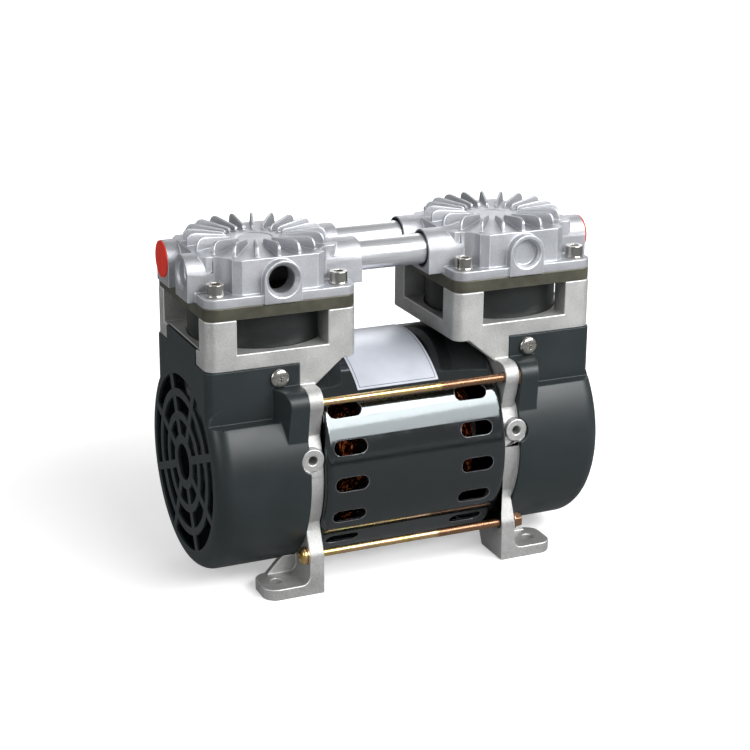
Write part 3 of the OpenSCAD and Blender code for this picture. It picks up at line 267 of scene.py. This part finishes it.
# A point's place on the label, across it along the shaft and up it round the shell, tells
# how far it is past the line of the frame.
rise = sum_of(tree, -axis_height, apart["Z"])
turn = calc(tree, "ARCTAN2", rise, sum_of(tree, 0.0, apart["Y"], -1.0))
up = sum_of(tree, -label_r * math.radians(label_rise + label_arc / 2), turn, label_r)
across = calc(tree, "ABSOLUTE", sum_of(tree, -label_middle, apart["X"]))
upward = calc(tree, "ABSOLUTE", up)
reach_up = label_r * math.radians(label_arc / 2)
to_rim = calc(tree, "MAXIMUM", sum_of(tree, frame_set - label_half, across),
    sum_of(tree, frame_set - reach_up, upward))
line = calc(tree, "COMPARE", to_rim, 0.0, frame_half_line)
cloud = grain(tree, place, size=0.02, detail=2.0)
paper = tint(tree, over(tree, cloud), (0.50, 0.53, 0.60), (0.60, 0.63, 0.69))
wire(tree, shader, Base_Color=tint(tree, line, paper, (0.05, 0.05, 0.06)))
brushed = add(tree, "Mapping", Vector=place, Scale=(0.04, 1.0, 1.0)).outputs["Vector"]
relief(tree, shader, grain(tree, brushed, size=0.0005, detail=2.0), depth=0.00008, strength=0.25)
dress(foil, "label_plate")

# Stator core and rotor: stacks of punched steel sheets, oiled and dull, with the sheets'
# edges as fine rings.

laminations, tree, shader = start_material("laminations", (0.20, 0.20, 0.21), metal=1.0, rough=0.5)
place = add(tree, "TexCoord").outputs["Object"]
sheets = add(tree, "TexWave", {"bands_direction": "X"}, Vector=place, Scale=320.0, Distortion=0.4,
    Detail=1.0).outputs["Fac"]
wire(tree, shader, Base_Color=tint(tree, sheets, (0.11, 0.11, 0.115), (0.25, 0.25, 0.26)))
relief(tree, shader, sheets, depth=0.0002, strength=0.4)
dress(laminations, "stator_core", "rotor")

# Windings: enamelled copper wire, wound in coils that leave one slot of the core and bend
# round into another, lacquered and slightly untidy.

copper, tree, shader = start_material("enamelled_copper", (0.62, 0.16, 0.045), metal=1.0, rough=0.30)
place = add(tree, "TexCoord").outputs["Object"]
# Most of the wire is painted near black as a painted shade for the dim inside of the shell, with strands of
# bright copper between.
painted_shade_noise = grain(tree, place, size=0.0025, detail=2.0)
wire(tree, shader, Base_Color=tint(tree, spread(tree, painted_shade_noise, 0.5, 0.6), (0.035, 0.010, 0.006),
    (0.86, 0.24, 0.075)))
wire(tree, shader, Roughness=over(tree, grain(tree, place, size=0.0015, detail=2.0), 0.22, 0.4))

slot_count, slot_pitch, coil_span = 24, 15.0, 5
core_half = 0.028
wire_radius = 0.00042
wires_in_coil = 13
wires_in_layer, layer_reach = 4, 0.0009
slot_sink = 0.001
end_reach, out_slot_r, back_slot_r, slot_step = 0.0152, 0.0490, 0.0455, 0.0010
loose_angle, loose_reach, loose_r, loose_sway = 2.0, 0.0012, 0.0006, 0.5
turn_steps = 14


def coil_of_wires(seed):
    """One coil's end turn at the right end, out of one slot and back into the fifth one on."""
    loose = random.Random(seed)
    bundle = bpy.data.curves.new("coil", "CURVE")
    bundle.dimensions = "3D"
    bundle.bevel_depth = wire_radius
    bundle.bevel_resolution = 1
    bundle.resolution_u = 1
    for strand in range(wires_in_coil):
        aside = loose.uniform(-loose_angle, loose_angle)
        reach = end_reach - layer_reach * (strand % wires_in_layer) - loose.uniform(0.0, loose_reach)
        out_r = out_slot_r - slot_step * (strand // 2) - loose.uniform(0.0, loose_r)
        back_r = back_slot_r - slot_step * (strand // 2) - loose.uniform(0.0, loose_r)
        points = [(0.0, 0.0, out_r)]
        for step in range(turn_steps + 1):
            part = step / turn_steps
            x = core_half - slot_sink + reach * math.sin(math.pi * part) ** 0.5
            points.append((x, part, out_r + (back_r - out_r) * part))
        points.append((0.0, 1.0, back_r))
        line = bundle.splines.new("POLY")
        line.points.add(len(points) - 1)
        for point, (x, part, r) in zip(line.points, points):
            sway = loose.uniform(-loose_sway, loose_sway) * math.sin(math.pi * part)
            angle = math.radians(slot_pitch / 2 + coil_span * slot_pitch * part + aside + sway)
            point.co = (x, r * math.cos(angle), axis_height + r * math.sin(angle), 1)
    coil = bpy.data.objects.new("coil", bundle)
    bpy.context.scene.collection.objects.link(coil)
    pick(coil)
    bpy.ops.object.convert(target="MESH")
    return bpy.context.object


pattern_seeds = (3, 8, 21)
patterns = [coil_of_wires(seed) for seed in pattern_seeds]
coils = []
for end in (1, -1):
    for slot in range(slot_count):
        coil = patterns[slot % len(patterns)].copy()
        coil.data = coil.data.copy()
        bpy.context.scene.collection.objects.link(coil)
        to_axis = Matrix.Translation((0, 0, -axis_height))
        turned = to_axis.inverted() @ Matrix.Rotation(math.radians(slot * slot_pitch), 4, "X") @ to_axis
        coil.data.transform(Matrix.Scale(end, 4, (1, 0, 0)) @ turned)
        if end < 0:
            coil.data.flip_normals()
        coils.append(coil)
pick(*coils)
bpy.ops.object.join()
windings = bpy.context.object
windings.name = "copper_coils"
for pattern in patterns:
    bpy.data.objects.remove(pattern)
bpy.ops.object.shade_smooth()
stand_for(windings, copper, "copper", "motor_and_frames", "stator_windings")

# Shaft and ball bearings: hardened steel, ground, which leaves fine lines round the axis.
# The bearings are pressed into the frames and onto the eccentrics.


def times(colour, share):
    """A colour made darker or brighter."""
    return [part * share for part in colour]


def turned_steel(name, colour, rough, line):
    """Turned or ground steel, with the tool's lines round the shaft's direction and a painted highlight on
    rounded edges.
    """
    material, tree, shader = start_material(name, colour, metal=1.0, rough=rough)
    place = add(tree, "TexCoord").outputs["Object"]
    stretched = add(tree, "Mapping", Vector=place, Scale=(1.0, 0.05, 0.05)).outputs["Vector"]
    lines = grain(tree, stretched, size=line, detail=3.0, rough=0.7)
    shade = tint(tree, over(tree, lines), times(colour, 0.82), colour)
    # The rounded edges are painted brighter as a painted highlight.
    wire(tree, shader, Base_Color=tint(tree, edge_highlight_mask(tree), shade, times(colour, 1.15)))
    wire(tree, shader, Roughness=over(tree, lines, rough - 0.04, rough + 0.08))
    relief(tree, shader, lines, depth=0.0001, strength=0.2)
    return material


ground_steel = turned_steel("ground_steel", colour=(0.50, 0.51, 0.53), rough=0.25, line=0.0004)
dress(ground_steel, "shaft", "motor_bearing_left", "motor_bearing_right", "rod_bearing_left",
    "rod_bearing_right")

# Eccentrics with their counterweights, connecting rods, cup seals and the discs that
# clamp them: cast iron, cast aluminium, a filled fluoropolymer and turned steel.

dress(turned_steel("cast_iron", colour=(0.20, 0.20, 0.21), rough=0.5, line=0.001), "eccentric_left",
    "eccentric_right")
dress(cast_metal("rod_casting", dark=(0.30, 0.30, 0.31), light=(0.42, 0.42, 0.43), edge_highlight=(0.6, 0.6, 0.6),
    rough=0.45, coarse=0.0009, bump=0.4), "con_rod_left", "con_rod_right")
cup_material, tree, shader = start_material("cup_ptfe", (0.50, 0.45, 0.33), metal=0.0, rough=0.45)
place = add(tree, "TexCoord").outputs["Object"]
flecks = grain(tree, place, size=0.0006, detail=3.0)
shade = tint(tree, spread(tree, flecks, 0.4, 0.65), (0.36, 0.31, 0.21), (0.52, 0.47, 0.35))
wire(tree, shader, Base_Color=shade)
relief(tree, shader, flecks, depth=0.0001, strength=0.3)
dress(cup_material, "piston_cup_left", "piston_cup_right")
dress(ground_steel, "cup_retainer_left", "cup_retainer_right")

# Cylinder sleeves: turned aluminium, hard-anodised dark grey-green, with the tool's
# lines still showing round the outside.

sleeve, tree, shader = start_material("sleeve_anodised", (0.010, 0.012, 0.012), metal=0.0, rough=0.34)
place = add(tree, "TexCoord").outputs["Object"]
stretched = add(tree, "Mapping", Vector=place, Scale=(0.05, 0.05, 1.0)).outputs["Vector"]
lines = grain(tree, stretched, size=0.0005, detail=2.0)
wire(tree, shader, Base_Color=tint(tree, over(tree, lines), (0.008, 0.010, 0.010), (0.014, 0.017, 0.016)))
relief(tree, shader, lines, depth=0.00005, strength=0.1)
dress(sleeve, "cylinder_left", "cylinder_right")

# Valve plates: ground aluminium, hard-anodised to a dark olive, with sharp but broken
# edges. The reed strips and the seal rings lie on and under them.

plate, tree, shader = start_material("plate_anodised", (0.070, 0.067, 0.048), metal=0.35, rough=0.42)
place = add(tree, "TexCoord").outputs["Object"]
cloud = grain(tree, place, size=0.009, detail=4.0)
shade = tint(tree, over(tree, cloud), (0.052, 0.050, 0.036), (0.085, 0.082, 0.060))
# The broken edges are painted lighter as a painted highlight.
wire(tree, shader, Base_Color=tint(tree, edge_highlight_mask(tree), shade, (0.14, 0.135, 0.11)))
relief(tree, shader, grain(tree, place, size=0.0006, detail=3.0), depth=0.0001, strength=0.35)
for side in ("left", "right"):
    stand_for(softened("valve_plate_" + side, width=0.0005), plate, "plate_dark", "motor_and_frames",
        "valve_plate_" + side)
dress(ground_steel, "reed_valves_left", "reed_valves_right")
rubber, tree, shader = start_material("black_rubber", (0.012, 0.012, 0.012), metal=0.0, rough=0.6)
place = add(tree, "TexCoord").outputs["Object"]
relief(tree, shader, grain(tree, place, size=0.0005, detail=2.0), depth=0.0001, strength=0.3)
dress(rubber, "cylinder_seal_left", "cylinder_seal_right", "head_gasket_left", "head_gasket_right",
    "tube_seals_left", "tube_seals_right")

# Heads: finned aluminium castings, shot-blasted, so their skin is finer and cooler
# than the frames'. The fins run out from a hub, and their outer ends are rounded over.

head_x = 0.0743
fin_foot_z, fin_peak_z, fin_foot_r, fin_peak_r = 0.1935, 0.2006, 0.0402, 0.0345
fin_rim = 0.0394
fin_cuts = (0.25, 0.45, 0.65, 0.82, 0.93)
fin_roundness = 2.5
on_slope, slack = 1.5e-4, 1e-4


def head_copy(node, middle_x):
    """A head with the outer ends of its fins rounded over, inside the edge of the wall."""
    piece = bpy.data.objects.new(node + "_softened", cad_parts[node].data.copy())
    bpy.context.scene.collection.objects.link(piece)
    pick(piece)
    bpy.ops.object.mode_set(mode="EDIT")
    bpy.ops.mesh.select_all(action="SELECT")
    bpy.ops.mesh.remove_doubles(threshold=merge_gap)
    bpy.ops.mesh.dissolve_limited(angle_limit=math.radians(flat_angle))
    for cut in fin_cuts:
        bpy.ops.mesh.select_all(action="SELECT")
        bpy.ops.mesh.bisect(plane_co=(0, 0, fin_foot_z + cut * (fin_peak_z - fin_foot_z)),
            plane_no=(0, 0, 1))
    bpy.ops.object.mode_set(mode="OBJECT")
    slope = fin_foot_r - fin_peak_r
    for vertex in piece.data.vertices:
        x, y, z = vertex.co.x - middle_x, vertex.co.y, vertex.co.z
        r = math.hypot(x, y)
        rise = min(1.0, (z - fin_foot_z) / (fin_peak_z - fin_foot_z))
        if rise < -slack or r < fin_peak_r - slack:
            continue
        rise = max(rise, 0.0)
        if abs(r - (fin_foot_r - slope * rise)) > on_slope:
            continue
        round_r = fin_foot_r - slope * (1 - (1 - rise ** fin_roundness) ** (1 / fin_roundness))
        round_r = min(round_r, r * fin_rim / max(abs(x), abs(y)))
        vertex.co.x = middle_x + x / r * round_r
        vertex.co.y = y / r * round_r
    return piece


head_casting = cast_metal("head_casting", dark=(0.38, 0.39, 0.415), light=(0.62, 0.63, 0.665),
    edge_highlight=(0.84, 0.86, 0.90), rough=0.48, coarse=0.0008, bump=0.5)
for side, sign in (("left", -1), ("right", 1)):
    head = head_copy("head_" + side, sign * head_x)
    break_edges(head, width=0.0005)
    stand_for(head, head_casting, "cast_head", "motor_and_frames", "head_" + side)

# Head screws: hex-socket cap screws with washers, bright nickel plate over steel. Four of
# them clamp each head and its valve plate to the frame.

nickel = turned_steel("nickel", colour=(0.62, 0.60, 0.56), rough=0.17, line=0.0006)
for side in ("left", "right"):
    stand_for(softened("head_screws_" + side, width=0.0004), nickel, "nickel_screws", "motor_and_frames",
        "head_screws_" + side)

# Transfer tubes: drawn aluminium, bright, with fine lines along their length. They are
# pushed into ports of both heads and sealed there by rubber rings.

tube, tree, shader = start_material("drawn_tube", (0.74, 0.75, 0.78), metal=0.85, rough=0.30)
place = add(tree, "TexCoord").outputs["Object"]
stretched = add(tree, "Mapping", Vector=place, Scale=(0.03, 1.0, 1.0)).outputs["Vector"]
lines = grain(tree, stretched, size=0.0008, detail=3.0)
wire(tree, shader, Base_Color=tint(tree, over(tree, lines), (0.66, 0.67, 0.70), (0.80, 0.81, 0.84)))
wire(tree, shader, Roughness=over(tree, lines, 0.26, 0.40))
relief(tree, shader, lines, depth=0.0001, strength=0.2)
dress(tube, "transfer_tube_front", "transfer_tube_back")

# Port caps: red moulded plastic plugs with a flat disc. They are pushed into the side
# ports and keep dirt out until a pipe is screwed in.

cap_red, tree, shader = start_material("cap_red", (0.62, 0.022, 0.010), metal=0.0, rough=0.5)
shader.inputs["Specular IOR Level"].default_value = 0.25
place = add(tree, "TexCoord").outputs["Object"]
cloud = grain(tree, place, size=0.004, detail=3.0)
wire(tree, shader, Base_Color=tint(tree, over(tree, cloud), (0.56, 0.018, 0.008), (0.66, 0.028, 0.013)))
relief(tree, shader, grain(tree, place, size=0.0005, detail=2.0), depth=0.0001, strength=0.25)
for side in ("left", "right"):
    stand_for(softened("port_cap_" + side, width=0.0002), cap_red, "cap_red", side + "_cap",
        "port_cap_" + side)

# Fans: black moulded plastic, one at each end of the shaft, seen through the grilles.
# They are pressed on and turn with it.


def moulded(name, colour, rough, bump):
    """Moulded plastic with a fine spark-eroded texture and a painted highlight on its rounded edges."""
    material, tree, shader = start_material(name, colour, metal=0.0, rough=rough)
    place = add(tree, "TexCoord").outputs["Object"]
    spark = grain(tree, place, size=0.00035, detail=2.0)
    patch = grain(tree, place, size=0.03, detail=3.0)
    shade = tint(tree, over(tree, patch), times(colour, 0.85), times(colour, 1.15))
    # The rounded edges are painted brighter as a painted highlight.
    wire(tree, shader, Base_Color=tint(tree, edge_highlight_mask(tree), shade, times(colour, 1.8)))
    wire(tree, shader, Roughness=over(tree, patch, rough - 0.04, rough + 0.05))
    relief(tree, shader, spark, depth=0.0001, strength=bump)
    return material


dress(moulded("fan_plastic", colour=(0.012, 0.013, 0.014), rough=0.45, bump=0.3), "fan_left", "fan_right")

# Fan covers: slate plastic mouldings, a barrel with a slotted grille and a square column
# up to the cylinder seat, with a fine satin texture.

cover_plastic = moulded("cover_plastic", colour=(0.0150, 0.0205, 0.0225), rough=0.40, bump=0.35)
cover_shader = cover_plastic.node_tree.nodes["Principled BSDF"]
cover_shader.inputs["Specular IOR Level"].default_value = 0.4
for side in ("left", "right"):
    stand_for(softened("fan_cover_" + side, width=0.0005), cover_plastic, "cover_plastic",
        "motor_and_frames", "fan_cover_" + side)

# Cover screws: pan heads with a cross recess, steel with nickel plate. Two of them hold
# each cover to its frame, one at the front and one at the back.

point_r_share, point_l_share = 0.8, 0.06
foot_r_share, foot_rise_share = 0.93, 0.10
dome_rise_share, dome_steps, dome_fullness = 0.34, 8, 0.8
cross_reach_share, cross_wide_share, cross_deep_share = 1.10, 0.27, 1.6
cross_foot_reach_share, cross_foot_wide_share = 0.35, 0.7
lip_break, lip_sharp, spin_steps = 0.00012, 40, 48


def cross_screw(name, head_r, head_h, shank_r, shank_l):
    """A pan-head screw with a cross recess, its head on z = 0 and its shank down."""
    outline = [
        (0.0, -shank_l), (shank_r * point_r_share, -shank_l),
        (shank_r, -shank_l * (1 - point_l_share)), (shank_r, 0.0), (head_r * foot_r_share, 0.0),
        (head_r, head_h * foot_rise_share), (head_r, head_h * dome_rise_share),
    ]
    for step in range(1, dome_steps + 1):
        lean = step / dome_steps * math.pi / 2
        dome_r = head_r * math.cos(lean) ** dome_fullness if step < dome_steps else 0.0
        dome_rise = dome_rise_share + (1 - dome_rise_share) * math.sin(lean)
        outline.append((dome_r, head_h * dome_rise))
    mesh = bpy.data.meshes.new(name)
    mesh.from_pydata([(r, 0, z) for r, z in outline], [(i, i + 1) for i in range(len(outline) - 1)], [])
    screw = bpy.data.objects.new(name, mesh)
    bpy.context.scene.collection.objects.link(screw)
    pick(screw)
    bpy.ops.object.mode_set(mode="EDIT")
    bpy.ops.mesh.select_all(action="SELECT")
    bpy.ops.mesh.spin(steps=spin_steps, angle=math.tau, center=(0, 0, 0), axis=(0, 0, 1))
    bpy.ops.mesh.select_all(action="SELECT")
    bpy.ops.mesh.remove_doubles(threshold=merge_gap)
    bpy.ops.mesh.normals_make_consistent(inside=False)
    bpy.ops.object.mode_set(mode="OBJECT")
    for turned in (0.0, math.pi / 2):
        bpy.ops.object.select_all(action="DESELECT")
        bpy.ops.mesh.primitive_cube_add(size=1, location=(0, 0, head_h))
        blade = bpy.context.object
        reach, wide, deep = head_r * cross_reach_share, head_r * cross_wide_share, head_h * cross_deep_share
        blade.data.transform(Matrix.Diagonal((reach, wide, deep, 1)))
        for corner in blade.data.vertices:
            if corner.co.z < 0:
                corner.co.x *= cross_foot_reach_share
                corner.co.y *= cross_foot_wide_share
        blade.data.transform(Matrix.Rotation(turned, 4, "Z"))
        apply_modifier(screw, "BOOLEAN", object=blade, operation="DIFFERENCE", solver="EXACT")
        bpy.data.objects.remove(blade)
    apply_modifier(screw, "BEVEL", width=lip_break, segments=2, limit_method="ANGLE",
        angle_limit=math.radians(lip_sharp))
    pick(screw)
    bpy.ops.object.shade_smooth_by_angle(angle=math.radians(smooth_angle))
    return screw


def placed(screw, name, *matrices):
    """One piece made of copies of a screw at those places."""
    copies = []
    for matrix in matrices:
        one = screw.copy()
        one.data = screw.data.copy()
        one.data.transform(matrix)
        bpy.context.scene.collection.objects.link(one)
        copies.append(one)
    pick(*copies)
    if len(copies) > 1:
        bpy.ops.object.join()
    piece = bpy.context.object
    piece.name = name
    return piece


screw_x, screw_y, screw_z = 0.0770, 0.0442, 0.1263
pan_screw = cross_screw("pan_screw", head_r=0.0054, head_h=0.0029, shank_r=0.0020, shank_l=0.008)
for side, sign in (("left", -1), ("right", 1)):
    front, back = (
        Matrix.Translation((sign * screw_x, way * screw_y, screw_z))
        @ Matrix.Rotation(-way * math.pi / 2, 4, "X") @ Matrix.Rotation(driven, 4, "Z")
        for way, driven in ((-1, 0.5), (1, 0.9)))
    stand_for(placed(pan_screw, "pan_screws_" + side, front, back), nickel, "nickel_screws",
        "motor_and_frames", "cover_screws_" + side)
bpy.data.objects.remove(pan_screw)

# Tie rods: steel rods in yellow zinc, with a cross-recessed head on the left, a rolled
# thread towards the right, and washers and nuts.

rod_r, thread_r, thread_start, rod_end, pitch = 0.0022, 0.00245, 0.016, 0.070, 0.0008
thread_depth, flank_share = 0.0002, 0.35
dark_before, dark_after = 0.0005, 0.0015
rod_head_x = -0.0662
core_sink, core_over = 0.001, 0.00003
rod_y, rod_low_z, rod_high_z = 0.054, 0.0225, 0.1125
zinc, tree, shader = start_material("yellow_zinc", (0.72, 0.50, 0.22), metal=1.0, rough=0.22)
place = add(tree, "TexCoord").outputs["Object"]
film = grain(tree, place, size=0.011, detail=3.0, rough=0.6)
ramp = add(tree, "ValToRGB", Fac=spread(tree, film, 0.28, 0.72))
stops = ramp.color_ramp.elements
stops[0].color, stops[1].color = (0.55, 0.38, 0.13, 1), (0.80, 0.62, 0.30, 1)
for at, colour in ((0.35, (0.78, 0.56, 0.22)), (0.6, (0.76, 0.46, 0.30)), (0.8, (0.60, 0.52, 0.22))):
    stops.new(at).color = (*colour, 1)
along = add(tree, "SeparateXYZ", Vector=place).outputs["X"]
# From the start of the thread on, the zinc is coloured darker brown.
rolled = spread(tree, along, thread_start - dark_before, thread_start + dark_after)
wire(tree, shader, Base_Color=tint(tree, rolled, ramp.outputs["Color"], (0.44, 0.25, 0.15)))
wire(tree, shader, Roughness=over(tree, grain(tree, place, size=0.004, detail=2.0), 0.24, 0.34))


def bar(radius, foot_z, top_z, sides):
    """A plain round bar that stands upright."""
    length = top_z - foot_z
    bpy.ops.object.select_all(action="DESELECT")
    bpy.ops.mesh.primitive_cylinder_add(vertices=sides, radius=radius, depth=length,
        location=(0, 0, foot_z + length / 2))
    piece = bpy.context.object
    bpy.ops.object.transform_apply(location=True)
    return piece


def rolled_thread(foot_z, top_z):
    """The ridge of a thread, one profile that the Screw modifier winds up the rod."""
    root_r = thread_r - thread_depth
    low_z = foot_z - pitch
    mesh = bpy.data.meshes.new("thread")
    ridge = [
        (root_r, 0, low_z), (thread_r, 0, low_z + pitch * flank_share),
        (thread_r, 0, low_z + pitch * (1 - flank_share)), (root_r, 0, low_z + pitch),
    ]
    mesh.from_pydata(ridge, [(0, 1), (1, 2), (2, 3)], [])
    thread = bpy.data.objects.new("thread", mesh)
    bpy.context.scene.collection.objects.link(thread)
    apply_modifier(thread, "SCREW", axis="Z", screw_offset=pitch, angle=math.tau,
        iterations=int((top_z - foot_z) / pitch), steps=24, render_steps=24, use_merge_vertices=True,
        merge_threshold=merge_gap, use_smooth_shade=False)
    pick(thread)
    bpy.ops.object.mode_set(mode="EDIT")
    bpy.ops.mesh.select_all(action="SELECT")
    bpy.ops.mesh.remove_doubles(threshold=merge_gap)
    bpy.ops.mesh.normals_make_consistent(inside=False)
    bpy.ops.object.mode_set(mode="OBJECT")
    return thread


thread_foot, thread_top = thread_start - rod_head_x, rod_end - rod_head_x
plain = bar(rod_r, 0.0, thread_foot, sides=32)
core = bar(thread_r - thread_depth + core_over, thread_foot - core_sink, thread_top, sides=24)
thread = rolled_thread(thread_foot, thread_top)
rod_head = cross_screw("rod_head", head_r=0.0050, head_h=0.0034, shank_r=0.0021, shank_l=0.001)
rod_head.data.transform(Matrix.Rotation(math.pi, 4, "X"))
pick(plain, core, thread, rod_head)
bpy.ops.object.join()
rod = bpy.context.object
bpy.ops.object.shade_smooth_by_angle(angle=math.radians(smooth_angle))
lying = Matrix.Rotation(math.pi / 2, 4, "Y")
spots = [
    (0.0, -rod_y, rod_high_z), (0.4, -rod_y, rod_low_z), (0.9, rod_y, rod_high_z), (0.2, rod_y, rod_low_z),
]
places = [Matrix.Translation((rod_head_x, y, z)) @ Matrix.Rotation(a, 4, "X") @ lying for a, y, z in spots]
rods = placed(rod, "threaded_tie_rods", *places)
bpy.data.objects.remove(rod)
stand_for(rods, zinc, "yellow_zinc", "motor_and_frames", "tie_rods")
stand_for(softened("tie_rod_nuts", width=0.0003), zinc, "yellow_zinc", "motor_and_frames", "tie_rod_nuts")

# Stage: a white studio floor that keeps the shadow. Mirrored rays find it darker, as the
# grey floor of a studio is.

floor_reach = 3.0
shadow_near, shadow_far, mirror_far = 0.15, 0.7, 0.5
bpy.ops.object.select_all(action="DESELECT")
bpy.ops.mesh.primitive_circle_add(vertices=96, radius=floor_reach, fill_type="NGON", location=(0, 0, 0))
floor = bpy.context.object
floor.name = "studio_floor"
floor_paint = bpy.data.materials.new("studio_floor")
floor_paint.use_nodes = True
tree = floor_paint.node_tree
tree.nodes.clear()
place = add(tree, "TexCoord").outputs["Object"]
away = add(tree, "VectorMath", {"operation": "LENGTH"}, i0=place).outputs["Value"]
seen = add(tree, "LightPath").outputs
glow = spread(tree, away, shadow_near, shadow_far, 0.42, 1.0)
mirrored = calc(tree, "MAXIMUM", seen["Is Glossy Ray"], seen["Is Transmission Ray"])
near_light = calc(tree, "MULTIPLY", mirrored, spread(tree, away, shadow_near, mirror_far, 0.10, 0.04))
ground = tint(tree, mirrored, (0.80, 0.80, 0.80), (0.16, 0.17, 0.17))
lit = add(tree, "BsdfDiffuse", Color=ground).outputs[0]
shine = calc(tree, "MULTIPLY_ADD", glow, seen["Is Camera Ray"], near_light)
white = add(tree, "Emission", Color=(1, 1, 1, 1), Strength=shine).outputs[0]
add(tree, "OutputMaterial", Surface=add(tree, "AddShader", i0=lit, i1=white).outputs[0])
floor.data.materials.append(floor_paint)

# Studio: white for the eye. Reflections see a grey backdrop behind and a room in front,
# both dimmer towards the ceiling, which gives metal and gloss their contrast. The fill
# light is even.

world = bpy.data.worlds.new("studio")
bpy.context.scene.world = world
world.use_nodes = True
tree = world.node_tree
tree.nodes.clear()
fill_light = 0.28
seen = add(tree, "LightPath").outputs
toward = add(tree, "SeparateXYZ", Vector=add(tree, "TexCoord").outputs["Generated"]).outputs
room = spread(tree, toward["Z"], 0.02, 0.14, 0.42, 0.14)
backdrop = spread(tree, toward["Z"], 0.35, 0.75, 0.40, 0.20)
around = spread(tree, toward["Y"], -0.15, 0.25, room, backdrop)
mirrored = calc(tree, "MAXIMUM", seen["Is Glossy Ray"], seen["Is Transmission Ray"])
shown = calc(tree, "MULTIPLY", mirrored, around)
shown = calc(tree, "MAXIMUM", shown, seen["Is Camera Ray"])
strength = calc(tree, "MAXIMUM", shown, fill_light)
sky = add(tree, "Background", Color=(1, 1, 1, 1), Strength=strength).outputs[0]
add(tree, "OutputWorld", Surface=sky)


def softbox(name, place, aim, wide, high, power):
    """A flat studio lamp at place that faces aim."""
    lamp = bpy.data.lights.new(name, "AREA")
    lamp.shape = "RECTANGLE"
    lamp.size, lamp.size_y, lamp.energy = wide, high, power
    holder = bpy.data.objects.new(name, lamp)
    bpy.context.scene.collection.objects.link(holder)
    holder.location = place
    holder.rotation_euler = (Vector(aim) - Vector(place)).to_track_quat("-Z", "Y").to_euler()


middle = Vector((0, 0, 0.1))
softbox("key_softbox", (0.38, -0.63, 0.76), middle, wide=1.1, high=0.13, power=7.5)
softbox("middle_softbox", (0.41, -0.71, 0.65), middle, wide=1.1, high=0.13, power=4.5)
softbox("lower_softbox", (0.43, -0.80, 0.52), middle, wide=1.1, high=0.19, power=3)
softbox("left_softbox", (-1.1, -0.2, 0.55), middle, wide=0.5, high=0.5, power=3.5)
softbox("back_softbox", (0.5, 0.95, 0.75), middle, wide=0.7, high=0.4, power=2.6)

# Camera: a long lens at the photograph's angle and distance, with its slight roll. The
# view transform shows the light as it is.

turn, rise, roll = (math.radians(a) for a in (-24.16, 18.58, 0.52))
aim_at, distance = Vector((0.00203, 0.00431, 0.10281)), 1.06319
back = Vector((math.sin(turn) * math.cos(rise), -math.cos(turn) * math.cos(rise), math.sin(rise)))
lens = bpy.data.cameras.new("camera")
lens.lens = 86.4
lens.sensor_width = 36
lens.clip_start, lens.clip_end = 0.05, 20
camera = bpy.data.objects.new("camera", lens)
bpy.context.scene.collection.objects.link(camera)
camera.location = aim_at + back * distance
camera.rotation_mode = "QUATERNION"
level = (-back).to_track_quat("-Z", "Y")
camera.rotation_quaternion = level @ Matrix.Rotation(roll, 4, "Z").to_quaternion()
bpy.context.scene.camera = camera
bpy.context.scene.view_settings.view_transform = "Standard"
